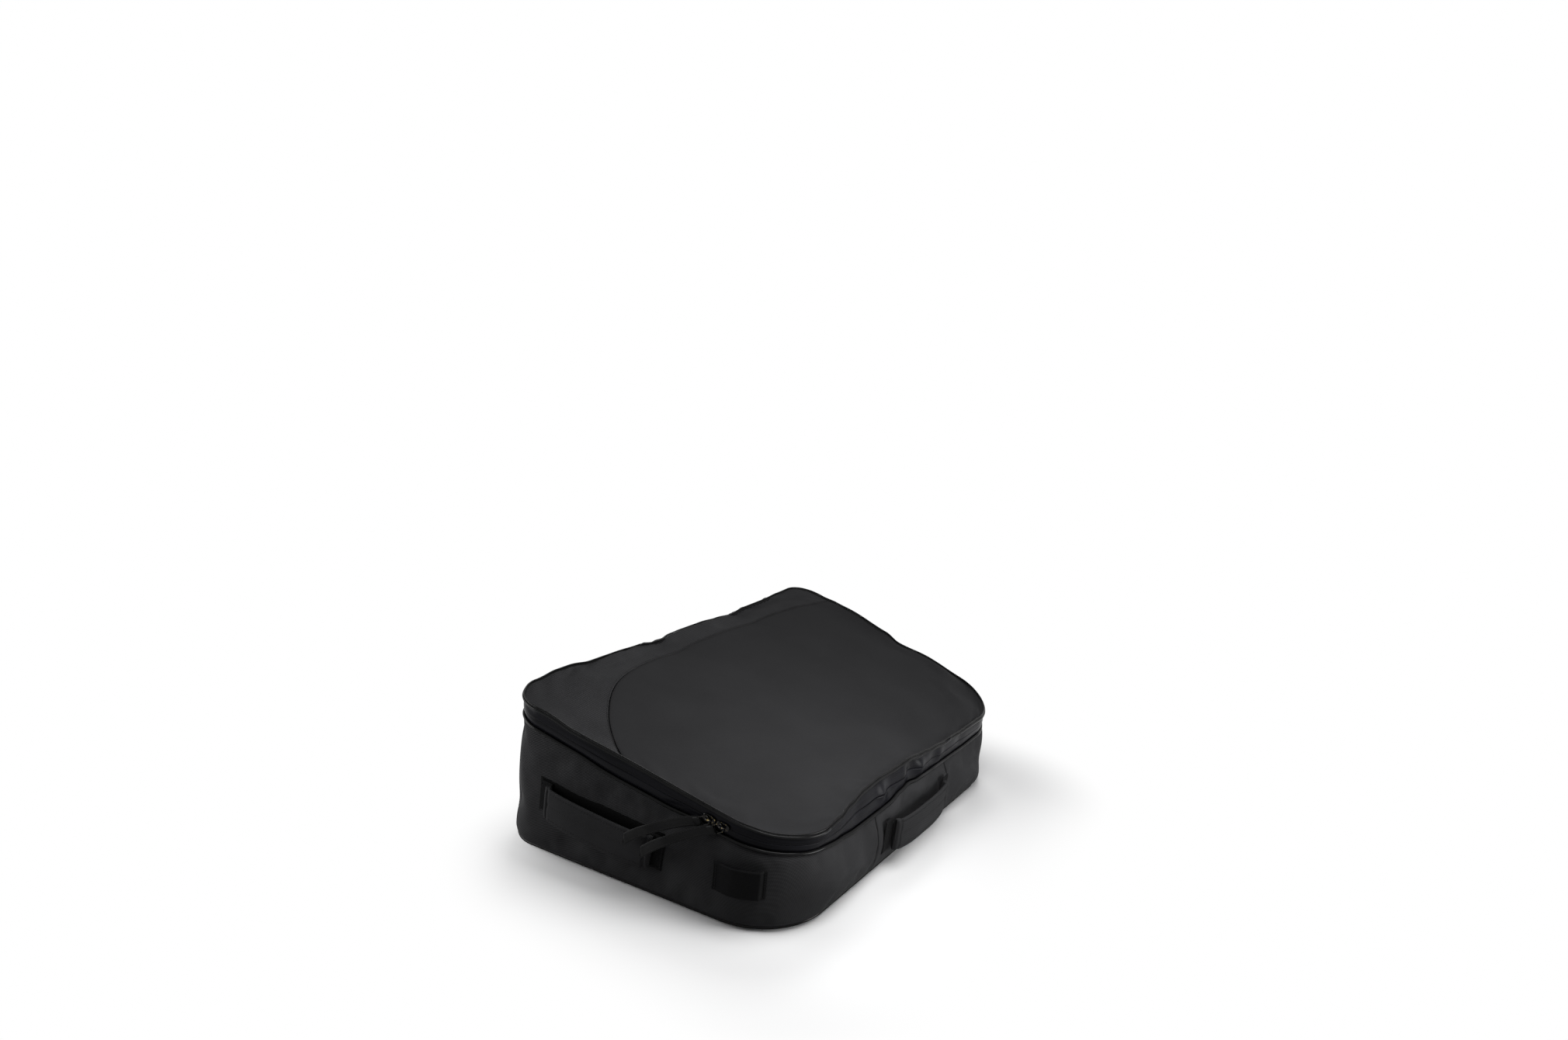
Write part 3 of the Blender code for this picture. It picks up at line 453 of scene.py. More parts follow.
# Materials.
class Look:
    """A Principled material whose colour and bump come from its nodes."""

    def __init__(self, name, roughness, specular, metallic=0.0):
        self.mat = bpy.data.materials.new(name)
        self.mat.use_nodes = True
        self.tree = self.mat.node_tree
        self.shader = self.tree.nodes["Principled BSDF"]
        self.shader.inputs["Roughness"].default_value = roughness
        self.shader.inputs["Specular IOR Level"].default_value = specular
        self.shader.inputs["Metallic"].default_value = metallic
        self.place = self.node("ShaderNodeTexCoord")

    def node(self, kind, **values):
        item = self.tree.nodes.new(kind)
        for key, value in values.items():
            setattr(item, key, value)
        return item

    def link(self, source, target):
        self.tree.links.new(source, target)

    def mapped(self, source, scale=(1, 1, 1), turn=0.0):
        """Texture place: the piece's UV in metres, or its Object place, turned and scaled."""
        item = self.node("ShaderNodeMapping")
        item.inputs["Scale"].default_value = scale
        item.inputs["Rotation"].default_value = (0, 0, turn)
        self.link(self.place.outputs[source], item.inputs["Vector"])
        return item.outputs["Vector"]

    def ribs(self, period, turn=0.0, distortion=0.0):
        """Parallel ribs with this period in metres."""
        item = self.node("ShaderNodeTexWave")
        item.inputs["Scale"].default_value = 0.314159 / period
        item.inputs["Distortion"].default_value = distortion
        item.inputs["Detail"].default_value = 1.0
        item.inputs["Detail Scale"].default_value = 1.5
        self.link(self.mapped("UV", turn=turn), item.inputs["Vector"])
        return item.outputs["Fac"]

    def noise(self, size, detail=3.0, source="Object", stretch=(1, 1, 1)):
        """Soft noise with features about this many metres across."""
        item = self.node("ShaderNodeTexNoise")
        item.inputs["Scale"].default_value = 1 / size
        item.inputs["Detail"].default_value = detail
        self.link(self.mapped(source, scale=stretch), item.inputs["Vector"])
        return item.outputs["Fac"]

    def maths(self, operation, a, b):
        """One sum of two fields or numbers."""
        item = self.node("ShaderNodeMath", operation=operation)
        for socket, value in zip(item.inputs, (a, b)):
            if isinstance(value, (int, float)):
                socket.default_value = value
            else:
                self.link(value, socket)
        return item.outputs["Value"]

    def colour(self, *fields):
        """Base colour: stops of a ramp over each field, multiplied together."""
        last = None
        for field, stops in fields:
            ramp = self.node("ShaderNodeValToRGB")
            elements = ramp.color_ramp.elements
            while len(elements) < len(stops):
                elements.new(0.5)
            for element, (at, rgb) in zip(elements, stops):
                element.position = at
                element.color = (*rgb, 1)
            self.link(field, ramp.inputs["Fac"])
            if last is None:
                last = ramp.outputs["Color"]
                continue
            mix = self.node("ShaderNodeMix", data_type='RGBA', blend_type='MULTIPLY')
            mix.inputs["Factor"].default_value = 1.0
            self.link(last, mix.inputs["A"])
            self.link(ramp.outputs["Color"], mix.inputs["B"])
            last = mix.outputs["Result"]
        self.link(last, self.shader.inputs["Base Color"])
        return self

    def rough(self, field, low, high):
        """Roughness that goes from low to high with the field."""
        item = self.node("ShaderNodeMapRange")
        item.inputs["To Min"].default_value = low
        item.inputs["To Max"].default_value = high
        self.link(field, item.inputs["Value"])
        self.link(item.outputs["Result"], self.shader.inputs["Roughness"])
        return self

    def bump(self, *heights):
        """Bumps laid over each other: field, strength and height in metres."""
        last = None
        for field, strength, height in heights:
            item = self.node("ShaderNodeBump")
            item.inputs["Strength"].default_value = strength
            item.inputs["Distance"].default_value = height
            self.link(field, item.inputs["Height"])
            if last is not None:
                self.link(last, item.inputs["Normal"])
            last = item.outputs["Normal"]
        self.link(last, self.shader.inputs["Normal"])
        return self


def tone(value, blue=1.04):
    """A near grey, a little blue."""
    return (value, value, value * blue)


def coated_look():
    """Smooth coated cloth of the lid's front: a fine grain over broad soft clouds."""
    look = Look("lid_coated_cloth", 0.5, 0.004)
    broad, grain = look.noise(0.09, 2), look.noise(0.0009, 2)
    look.colour((broad, ((0.3, tone(0.0205)), (0.7, tone(0.0235)))),
                (grain, ((0.25, (0.86,) * 3), (0.75, (1.05,) * 3))))
    look.rough(broad, 0.46, 0.58)
    look.bump((grain, 0.25, 0.0003), (look.noise(0.012, 2), 0.10, 0.0008))
    return look.mat


def ripstop_look(name, value, size):
    """Ripstop: a grid of thicker threads every size metres, in a fine plain weave."""
    look = Look(name, 0.6, 0.006)
    warp, weft = look.ribs(size), look.ribs(size, math.pi / 2)
    grid = look.maths('POWER', look.maths('MAXIMUM', warp, weft), 8.0)
    fine = look.maths('MULTIPLY', look.ribs(0.0011), look.ribs(0.0011, math.pi / 2))
    look.colour((look.noise(0.05, 3), ((0.3, tone(value * 0.88)), (0.7, tone(value * 1.08)))),
                (grid, ((0.2, (0.86,) * 3), (0.9, (1.3,) * 3))),
                (fine, ((0.1, (0.9,) * 3), (0.9, (1.08,) * 3))))
    look.bump((grid, 0.45, 0.0004), (fine, 0.35, 0.0002), (look.noise(0.02, 3), 0.15, 0.0012))
    return look.mat


def twill_look(name, value, turn, period, contrast):
    """Twill: ribs at the turn, one every period metres, crossed by finer ones."""
    look = Look(name, 0.58, 0.015)
    ribs = look.ribs(period, turn)
    cross = look.ribs(period * 0.7, turn + math.pi / 2)
    look.colour((look.noise(0.07, 3), ((0.3, tone(value * 0.85)), (0.7, tone(value * 1.1)))),
                (ribs, ((0.15, (1 - contrast,) * 3), (0.85, (1 + contrast * 0.85,) * 3))),
                (cross, ((0.1, (1 - contrast * 0.35,) * 3), (0.9, (1 + contrast * 0.25,) * 3))))
    look.bump((ribs, 0.3, 0.0003), (cross, 0.25, 0.0002), (look.noise(0.018, 3), 0.15, 0.0012))
    return look.mat


def piping_look():
    """Coated piping, smooth and a little glossy."""
    look = Look("piping_coated", 0.15, 0.08)
    grain = look.noise(0.0016, 3)
    look.colour((look.noise(0.03, 2), ((0.3, tone(0.003)), (0.7, tone(0.005)))),
                (grain, ((0.2, (0.9,) * 3), (0.8, (1.1,) * 3))))
    look.bump((grain, 0.2, 0.0003), (look.noise(0.009, 2), 0.2, 0.0008))
    return look.mat


def tape_look():
    """Coated zip tape whose colour streaks lighter along it as painted sheen, its roughness and bump
    streaking with it.
    """
    look = Look("zip_tape_coated", 0.30, 0.045)
    weave = look.ribs(0.0016, math.pi / 2)
    streak = look.noise(0.004, 3, "UV", (0.06, 1, 1))
    # Painted sheen: lighter colour along the streaks; the same streaks also set roughness and bump.
    look.colour((streak, ((0.3, tone(0.0030, 1.3)), (0.7, tone(0.0070, 1.3)))),
                (weave, ((0.1, (0.94,) * 3), (0.9, (1.05,) * 3))))
    look.rough(streak, 0.20, 0.36)
    look.bump((weave, 0.08, 0.0001), (streak, 0.15, 0.0006))
    return look.mat


def webbing_look():
    """Black webbing in a chevron weave."""
    look, value = Look("black_webbing", 0.7, 0.03), 0.0055
    chevron = look.maths('MAXIMUM', look.ribs(0.0014, math.radians(32)), look.ribs(0.0014, math.radians(-32)))
    cross = look.ribs(0.0011, math.pi / 2)
    look.colour((look.noise(0.02, 2), ((0.3, tone(value * 0.9)), (0.7, tone(value * 1.15)))),
                (chevron, ((0.2, (0.75,) * 3), (0.9, (1.2,) * 3))))
    look.bump((chevron, 0.5, 0.0004), (cross, 0.35, 0.0002))
    return look.mat


def plain_look(name, value, roughness, specular, size):
    """Plain finish with a grain of this size in metres."""
    look, blue = Look(name, roughness, specular), 1.02
    grain = look.noise(size, 3)
    look.colour((grain, ((0.25, tone(value * 0.8, blue)), (0.75, tone(value * 1.2, blue)))))
    look.bump((grain, 0.12, 0.0002))
    return look.mat


def metal_look():
    """Black lacquered metal with a few spots worn to brass."""
    look = Look("black_lacquered_metal", 0.25, 0.5, metallic=1.0)
    worn = look.noise(0.0022, 4)
    look.colour((worn, ((0.3, (0.010, 0.010, 0.011)), (0.62, (0.016, 0.015, 0.014)),
                        (0.70, (0.22, 0.17, 0.07)))))
    look.rough(look.noise(0.006, 3), 0.16, 0.36)
    look.bump((look.noise(0.0012, 2), 0.08, 0.0002))
    return look.mat


COATED = coated_look()
RIPSTOP = ripstop_look("lid_ripstop", 0.030, 0.0032)
BASE_CLOTH = ripstop_look("base_ripstop", 0.016, 0.006)
TWILL = twill_look("wall_twill", 0.026, math.radians(79), 0.0020, 0.5)
NOSE_CLOTH = twill_look("nose_cloth", 0.026, math.radians(90), 0.0013, 0.16)
GRIP_CLOTH = twill_look("grip_cloth", 0.023, math.radians(62), 0.0016, 0.22)
LINING = ripstop_look("grey_lining", 0.060, 0.003)
PIPING = piping_look()
TAPE = tape_look()
WEBBING = webbing_look()
STRAP = plain_look("pull_strap_cloth", 0.008, 0.42, 0.06, 0.0012)
THREAD = plain_look("thread", 0.016, 0.6, 0.05, 0.0006)
# Near black backing: partly painted shade for the gap between a side grip and the wall.
SHADE_BACKING = plain_look("black_backing_painted_shade", 0.003, 0.8, 0.02, 0.0012)
COIL = plain_look("nylon_coil", 0.005, 0.4, 0.06, 0.0015)
METAL = metal_look()


# Lid.
def make_lid():
    """Lid cloth: the flat grid tilted, with a soft shoulder at the rim and a low dome, both powers of a
    rounded square's radius. The edge's waves fade inwards, dents are bell curves, and the seam dips."""
    u, x, y = lid_rows()
    reach = LID_DEPTH / 2 - EDGE_INSET
    share = np.minimum(1, (np.abs(u) ** 6 + np.abs(y / reach) ** 6) ** (1 / 6))
    crown = 0.0035 * (1 - share ** 22) + (DOME - 0.0025) * (1 - share ** 2.4)
    points = lid_point(np.stack((x, y), -1), 0.0004 + crown)
    s = np.linspace(0, ROUND, 4200, endpoint=False)
    rim = pattern(s)[0]
    flat = np.stack((x, y), -1).reshape(-1, 2)
    nearest = np.array([np.argmin(np.sum((rim[::6] - p) ** 2, axis=1)) for p in flat]) * 6
    distance = np.linalg.norm(rim[nearest] - flat, axis=1).reshape(x.shape)
    at = s[nearest].reshape(x.shape)
    rise, pull = wave(LID_EDGE, at)
    fade = np.exp(-(distance / 0.05) ** 1.5)
    normal = pattern(at)[1]
    points[..., :2] -= normal * (pull * fade)[..., None]
    points[..., 2] += rise * fade
    for cx, cy, depth, wide, turn in LID_DENTS:
        dx, dy = x - cx, y - cy
        a, b = dx * math.cos(turn) + dy * math.sin(turn), dy * math.cos(turn) - dx * math.sin(turn)
        points[..., 2] -= depth * np.exp(-(a / wide / 1.5) ** 2 - (b / wide) ** 2) * (share < 1)
    held = np.zeros(x.shape, bool)
    held[[0, -1]] = held[:, [0, -1]] = True
    points = drape(points, held, False, LID_GROWTH, LID_FILLING, LID_LIMIT, 14)
    seam = SEAM_ROW
    steep = np.gradient(y[seam], x[seam])
    points[seam, 1:-1, 2] -= 0.0005 / (1 + steep[1:-1] ** 2)
    uv = np.stack((x, y), -1)
    rear = surface("lid_rear_cloth", points[:seam + 1], uv[:seam + 1], flip=True)
    front = surface("lid_front_cloth", points[seam:], uv[seam:], flip=True)
    for obj, mat, slot, node in ((rear, RIPSTOP, "wall_fabric", "lid_rear_panel"),
                                 (front, COATED, "lid_fabric", "lid_front_panel")):
        thicken(obj, LID_CLOTH, lining=True).modifiers["thickness"].edge_crease_rim = 1.0
        smooth(obj)
        dress(obj, "lid", (mat, LINING), (node,))
    up = np.array((0, -math.sin(SLOPE), math.cos(SLOPE)))
    across = np.linspace(-0.006, 0.006, 5)
    ribbon = points[seam, 1:-1][None] + np.stack((0 * across, across * math.cos(SLOPE),
                                                  across * math.sin(SLOPE)), -1)[:, None] - up * 0.0038
    binding = surface("lid_seam_binding", ribbon, flat_uv(across, x[seam, 1:-1]))
    dress(thicken(binding, 0.0012), "lid", WEBBING)
    return [sewn(points[row, 1:-1] + up * 0.0004, up) for row in (seam - 1, seam + 1)]


def make_cords():
    """Piping on the lid's edge with a thin welt over it, on the walls' top, and round the bottom."""
    def top(s, out, drop):
        return waved(s, out - 0.0008, drop - 0.0010, 0)

    def welt(s, out, drop):
        return waved(s, out - 0.0016, drop + 0.0024, 0)

    def rim(s, out, drop):
        return waved(s, out - 0.0010, drop - BAND - 0.0004, 1)

    def foot(s, out, drop):
        p = wall_point(s, out + foot_roll(PIPE_HEIGHT) - 0.0006, 0 * s)
        p[..., 2] = PIPE_HEIGHT + drop
        return p
    dress(cord_round("lid_piping_cord", top, LID_PIPE, 0.04, 1100), "lid", PIPING, ("lid_piping",))
    dress(cord_round("lid_edge_welt", welt, WELT, 0.04, 1100, sides=8), "lid", PIPING)
    dress(cord_round("wall_piping_cord", rim, WALL_PIPE, 0.04, 1100), "tub", PIPING,
          ("wall_top_piping",))
    dress(cord_round("bottom_piping_cord", foot, FOOT_PIPE, 0.03, 900), "tub", PIPING,
          ("bottom_piping",))


# Zip.
def coil_line(s, out, drop, w):
    """The coil's line 3 mm behind the band at w. It leaves out the band's waves near the place where the
    front slider ends its turn, so that the slider clears it."""
    p = band_point(s, out - 0.0030, w)
    level = (wave(LID_EDGE, s)[0] + wave(WALL_EDGE, s)[0]) / 2
    p[..., 2] += drop - level * np.exp(-((s - SLIDER_B_END) / 0.03) ** 2)
    return p


def make_zip():
    """Both halves of the zip band: a coated tape that rolls in at the zip line by a power of a sine, and its
    coil behind, a round cord whose radius swells and shrinks at the pitch of the teeth."""
    s = np.linspace(REAR_END, ROUND - REAR_END, 720)
    for half, body, w, way in (("upper", "lid", np.linspace(BAND_TOP, 0.495, 11), -1),
                               ("lower", "tub", np.linspace(0.505, BAND_FOOT, 11), 1)):
        out = 0.0034 * np.sin(math.pi * w) ** 0.6 - 0.0038
        points = band_point(s[None, :], out[:, None], w[:, None])
        points, uv_rows = points[::-1], (w * BAND)[::-1]
        tape = surface("zip_tape_%s_cloth" % half, points, flat_uv(uv_rows, s))
        thicken(tape, TAPE_THICK)
        dress(tape, body, TAPE, ("zip_tape_" + half,))
        t = np.linspace(REAR_END + 0.004, ROUND - REAR_END - 0.004, 2400)
        turn = np.linspace(0, 2 * math.pi, 6, endpoint=False)
        r = COIL_RADIUS * (0.82 + 0.18 * np.sin(t * 2 * math.pi / COIL_PITCH))
        out, drop = r * np.cos(turn)[:, None], r * np.sin(turn)[:, None]
        points = coil_line(t[None, :], out, drop, 0.5 + way * 0.078)
        coil = surface("zip_coil_%s_teeth" % half, points, flat_uv(np.arange(7) * 0.001, t),
                       wrap_rows=True, ends=True)
        dress(coil, body, COIL, ("zip_coil_" + half,))


def make_hinge():
    """Hinge cloth along the rear, rolled out by a power of a sine."""
    s = np.linspace(-REAR_END, REAR_END, 160)
    w = np.linspace(BAND_TOP, BAND_FOOT, 17)
    out = 0.0028 * np.sin(math.pi * w) ** 0.6 - 0.0036
    points = band_point(s[None, :], out[:, None], w[:, None])[::-1]
    hinge = thicken(surface("hinge_cloth", points, flat_uv((w * BAND)[::-1], s)), HINGE_THICK)
    dress(hinge, "", TWILL, ("hinge_strip_wall", "hinge_strip_lid"))
    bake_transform(hinge)


# Walls and bottom.
def wall_marks():
    """Columns round the walls, about 7 mm apart, with marks on both sides of each seam."""
    seams = (CORNER_SEAM, NOSE_SEAM, ROUND - NOSE_SEAM, ROUND - CORNER_SEAM)
    marks = []
    bounds = (seams[3] - ROUND,) + seams
    for start, end in zip(bounds, bounds[1:]):
        count = int(round((end - start) / 0.007))
        inner = np.linspace(start + 0.005, end - 0.005, count)
        marks.append(np.concatenate(((start, start + LINE_STEP), inner, (end - LINE_STEP,))))
    firsts = np.cumsum([0] + [len(m) for m in marks])
    return np.concatenate(marks), firsts


def held_places(s, t):
    """Where patches and sewn ends hold the wall: within reach of a handle's ends or of the loop."""
    held = np.zeros((len(t), len(s)), bool)
    for at in (SIDE_HANDLE, HALF, ROUND - SIDE_HANDLE):
        held |= (np.abs((s - at + HALF) % ROUND - HALF)[None, :] < HANDLE_SPAN / 2 + 0.006) & \
                (np.abs(t - 0.5)[:, None] < 0.26)
    loop = SIDE_END - LOOP_START + LOOP_LENGTH / 2
    held |= (np.abs(s - loop)[None, :] < LOOP_LENGTH / 2 + 0.004) & (np.abs(t - 0.5)[:, None] < 0.32)
    return held


def make_walls():
    """Wall cloth: one ring of the wall's surface with its folds as bell curves, draped, then cut at its four
    seams into its panels, with a binding behind each seam."""
    s, firsts = wall_marks()
    t = np.concatenate(((-0.014, 0.02), np.linspace(0.06, 0.94, 21), (0.98, 1.008)))
    tuck = -0.0012 * np.clip((t - 0.95) / 0.05, 0, 1)
    height = wall_point(s[None, :], 0, t[:, None])[..., 2]
    swell = sum(h * np.exp(-(((s - at + HALF) % ROUND - HALF)[None, :] / wide) ** 2
                           - ((t[:, None] - mid) / tall) ** 2)
                for at, mid, h, wide, tall in WALL_FOLDS)
    points = wall_point(s[None, :], tuck[:, None] + foot_roll(height) + swell, t[:, None])
    held = held_places(s, t)
    held[[0, 1, -2, -1]] = True
    points = drape(points, held, True, WALL_GROWTH, WALL_FILLING, WALL_LIMIT, 16)
    for first in firsts[1:]:
        column = first % len(s)
        normal = pattern(s[column])[1]
        points[:, column, :2] -= normal * SEAM_SINK
    length = np.append(s, s[0] + ROUND)
    height = t * WEAVE_HEIGHT
    ringed = np.concatenate((points, points[:, :1]), 1)
    names = (("rear_wall_cloth", TWILL, "rear_panel"), ("left_wall_cloth", TWILL, "left_side_panel"),
             ("nose_wall_cloth", NOSE_CLOTH, "nose_panel"), ("right_wall_cloth", TWILL, "right_side_panel"))
    for (name, mat, node), start, end in zip(names, firsts, firsts[1:]):
        part = ringed[:, start:end + 1]
        obj = surface(name, part, flat_uv(height, length[start:end + 1]))
        smooth(thicken(obj, WALL_CLOTH, lining=True))
        dress(obj, "tub", (mat, LINING), (node,))
    for name, column in zip(("rear_right", "rear_left", "nose_left", "nose_right"), firsts):
        near = (column + np.arange(-2, 3)) % len(s)
        inward = np.concatenate((pattern(s[near])[1], np.zeros((5, 1))), 1) * BINDING_SET
        ribbon = points[:, near] - inward
        uv = flat_uv(height, np.linspace(-0.005, 0.005, 5))
        obj = thicken(surface(name + "_binding_tape", ribbon, uv), BINDING_THICK)
        dress(obj, "tub", WEBBING, (name + "_binding",))


def make_bottom():
    """Bottom cloth: rings of the foot's outline drawn in to the middle, rolled up at the rim."""
    s = np.linspace(0, ROUND, 260, endpoint=False)
    height = FOOT_RADIUS * (1 - np.cos(np.linspace(math.acos(1 - PIPE_HEIGHT / FOOT_RADIUS), 0, 9)))
    curl = [wall_point(s, foot_roll(z) - 0.0004, 0 * s)[:, :2] for z in height]
    middle = np.array((0, CENTRE_Y))
    share = np.array((0.97, 0.92, 0.85, 0.72, 0.58, 0.44, 0.30, 0.17))
    flat = np.concatenate((curl, middle + (curl[-1][None] - middle) * share[:, None, None]))
    height = np.append(height, 0 * share)
    rings = np.concatenate((flat, np.broadcast_to(height[:, None, None], flat.shape[:2] + (1,))), -1)
    uv = np.concatenate((flat, flat[:, :1]), 1)
    obj = surface("bottom_cloth", rings, uv, wrap_columns=True)
    mesh = obj.data
    last = len(mesh.vertices) - len(s)
    faces = [list(p.vertices) for p in mesh.polygons] + [list(range(last, last + len(s)))]
    points = rings.reshape(-1, 3)
    bpy.data.objects.remove(obj, do_unlink=True)
    obj = mesh_piece("bottom_cloth", points, [f[::-1] for f in faces],
                     np.concatenate([points[f[::-1]][:, :2] for f in faces]))
    thicken(obj, BASE_THICK, lining=True)
    dress(obj, "tub", (BASE_CLOTH, LINING), ("bottom_panel",))


# Handles, patches, loop.
def make_handle(side, s):
    """Padded grip: a flattened section carried over a loose arch between two rolled ends, pressed in along
    its stitch lines and beside the rolls; and its two sewn patches."""
    raised = NOSE_HANDLE_RISE if side == "nose" else 0
    origin, axes = middle_of_wall(s) + np.array((0, 0, raised)), frame_at(s, 0, 0, 0.5)[1]
    half_length = HANDLE_SPAN / 2 - PATCH_WIDTH + (0.001 if side == "nose" else 0.0065)
    x = np.concatenate((-np.linspace(1, 0.87, 22), np.linspace(-0.86, 0.86, 58), np.linspace(0.87, 1, 22)))
    far = np.abs(x)
    settle = np.clip((far - 0.885) / 0.04, 0, 1) ** 2
    arch = 1 - far ** 3
    path_z = (GRIP_STAND + GRIP_RISE * arch) * (1 - settle) + ROLL_STAND * settle
    roll = np.clip((far - 0.905) / 0.03, 0, 1)
    round_end = np.sqrt(np.clip(1 - np.clip((far - 0.945) / 0.055, 0, 1) ** 2, 0.02, 1))
    press = 1 - 0.30 * np.exp(-((far - 0.898) / 0.010) ** 2)
    thick = (GRIP_HALF * press * (1 - roll) + ROLL_HALF * roll) * round_end
    turn = np.linspace(0, 2 * math.pi, 64, endpoint=False)
    y, z = rounded(turn, 0.5)
    dents = 0.38 * np.exp(-(y / 0.07) ** 2) + 0.26 * np.exp(-((np.abs(y) - 0.80) / 0.05) ** 2)
    half = thick[None, :] * (1 - dents[:, None] * (1 - roll)[None, :])
    tall = HANDLE_HEIGHT / 2
    belly = np.clip(-y, 0, 1)[:, None] * arch[None, :]
    across = y[:, None] * tall - SAG * arch[None, :] - GRIP_DROOP * belly
    path_x = x * half_length
    px = np.broadcast_to(path_x, across.shape)
    pz = path_z[None, :] + z[:, None] * half + GRIP_LEAN * belly
    ring = np.stack((y * tall, z * GRIP_HALF), -1)
    girth = np.linalg.norm(np.diff(np.concatenate((ring, ring[:1])), axis=0), axis=1)
    grip = surface(side + "_grip_cloth", placed(np.stack((px, across, pz), -1), origin, axes),
                   flat_uv(np.append(0, np.cumsum(girth)), path_x), wrap_rows=True, ends=True)
    dress(grip, "tub", GRIP_CLOTH, (side + "_handle_grip",))
    rows = []
    inner = far < 0.88
    for at, depth in ((0, 0.62), (0.80, 0.74), (-0.80, 0.74)):
        drop = max(-at, 0) * arch
        path = np.stack((path_x, at * tall - SAG * arch - GRIP_DROOP * drop,
                         path_z + GRIP_HALF * depth + GRIP_LEAN * drop), -1)[inner]
        rows.append(sewn(placed(path, origin, axes), axes[2]))
    # The side grips get the black backing, which also paints the shade in the gap above them.
    if side != "nose":
        make_shade_backing(side, s)
    for number, end in ((1, -1), (2, 1)):
        node = "%s_handle_patch_%d" % (side, number)
        rows += make_patch("%s_patch_%d" % (side, number), origin, axes, end, (node,))
    return rows


def make_shade_backing(side, s):
    """Black backing cloth behind the handle, from patch to patch, whose black also stands for the shade in
    the gap above the grip as painted shade: the wall's surface, raised off it away from the cloth's rim."""
    along = s + np.linspace(-0.5, 0.5, 41) * (HANDLE_SPAN + 0.002)
    up = np.linspace(-0.5, 0.5, 17) * BACKING_HEIGHT
    tall = wall_point(along, 0, 1.0)[:, 2] - WALL_BOTTOM
    share = 0.5 + up[:, None] / tall[None, :]
    ends, edges = np.abs(np.linspace(-1, 1, 41)), np.abs(up * 2 / BACKING_HEIGHT)
    rim = np.minimum(1 - ends[None, :] ** 30, 1 - edges[:, None] ** 20)
    points = wall_point(along[None, :], 0.0002 + 0.0008 * rim, share)
    obj = thicken(surface(side + "_shade_backing_cloth", points, flat_uv(up, along)), 0.0006)
    dress(obj, "tub", SHADE_BACKING)


def middle_of_wall(s):
    """The wall's middle, on the outside of its bulge, as the solids have it."""
    s = np.float64(s)
    rear = max(float(pattern(s)[1][1]), 0)
    stand = (FLARE + FLARE_REAR * rear) * 0.5 + float(bulge(s))
    p = edge_point(s, stand, WALL_TOP)
    p[2] = WALL_BOTTOM + (p[2] - WALL_BOTTOM) * 0.5
    return p


def make_patch(name, origin, axes, end, node):
    """Sewn webbing patch: a low pillow that rises by a square root from its rim, pressed in along its box of
    stitches."""
    middle = end * (HANDLE_SPAN / 2 - PATCH_WIDTH / 2 + 2 * GAP)
    a, b = np.meshgrid(np.linspace(-1, 1, 15), np.linspace(-1, 1, 31), indexing="ij")
    rim = np.clip((1 - np.maximum(np.abs(a), np.abs(b))) / 0.10, 0, 1)
    press = np.exp(-((np.maximum(np.abs(a), np.abs(b)) - 0.80) / 0.05) ** 2)
    z = 0.0012 + 0.0011 * np.sqrt(rim) - 0.0004 * press
    points = np.stack((middle + a * PATCH_WIDTH / 2, b * PATCH_HEIGHT / 2, z), -1)
    uv = np.stack((b * PATCH_HEIGHT / 2, a * PATCH_WIDTH / 2), -1)
    obj = surface(name, placed(points, origin, axes), uv, flip=True)
    thicken(obj, 0.0006)
    dress(obj, "tub", WEBBING, node)
    w, h = PATCH_WIDTH / 2 * 0.78, PATCH_HEIGHT / 2 * 0.86
    corners = ((-w, -h), (w, -h), (w, h), (-w, h), (-w, -h), (w, h), (-w, h), (w, -h))
    rows = []
    for (x0, y0), (x1, y1) in zip(corners, corners[1:]):
        k = np.linspace(0, 1, 8)
        path = np.stack((middle + x0 + (x1 - x0) * k, y0 + (y1 - y0) * k, np.full(8, 0.0022)), -1)
        rows.append(sewn(placed(path, origin, axes), axes[2], *PATCH_STITCH))
    return rows


def make_loop():
    """Webbing loop: the wall's middle line moved out by a smooth step up and a steeper one down, between two
    sewn ends, with a raised line by each selvedge."""
    start = SIDE_END - LOOP_START
    level = middle_of_wall(start)[2] + LOOP_RISE
    share = np.linspace(0, 1, 64)
    ramp = np.minimum(np.clip((share - 0.08) / 0.36, 0, 1), np.clip((0.945 - share) / 0.075, 0, 1))
    lift = GAP + LOOP_THICK + LOOP_STANDOFF * ramp ** 2 * (3 - 2 * ramp)
    s = start + LOOP_LENGTH * share
    base = np.array([middle_of_wall(v) for v in s])
    base[:, :2] += pattern(s)[1] * lift[:, None]
    v = np.linspace(-0.5, 0.5, 15)
    edge = 0.0005 * np.exp(-((np.abs(v) - 0.44) / 0.04) ** 2)
    points = np.repeat(base[None], len(v), 0)
    points[..., 2] = level + (v * LOOP_HEIGHT)[:, None]
    points[..., :2] += pattern(s)[1][None] * edge[:, None, None]
    obj = thicken(surface("loop_webbing", points, flat_uv(v * LOOP_HEIGHT, s)), LOOP_THICK)
    dress(obj, "tub", WEBBING, ("webbing_loop",))
    rows = []
    for at in (0.025, 0.065, 0.98):
        k = int(at * 63)
        outward = np.append(pattern(s[k])[1], 0)
        rows.append(sewn(points[1:-1, k] + outward * 0.0003, outward, *LOOP_STITCH))
    return rows


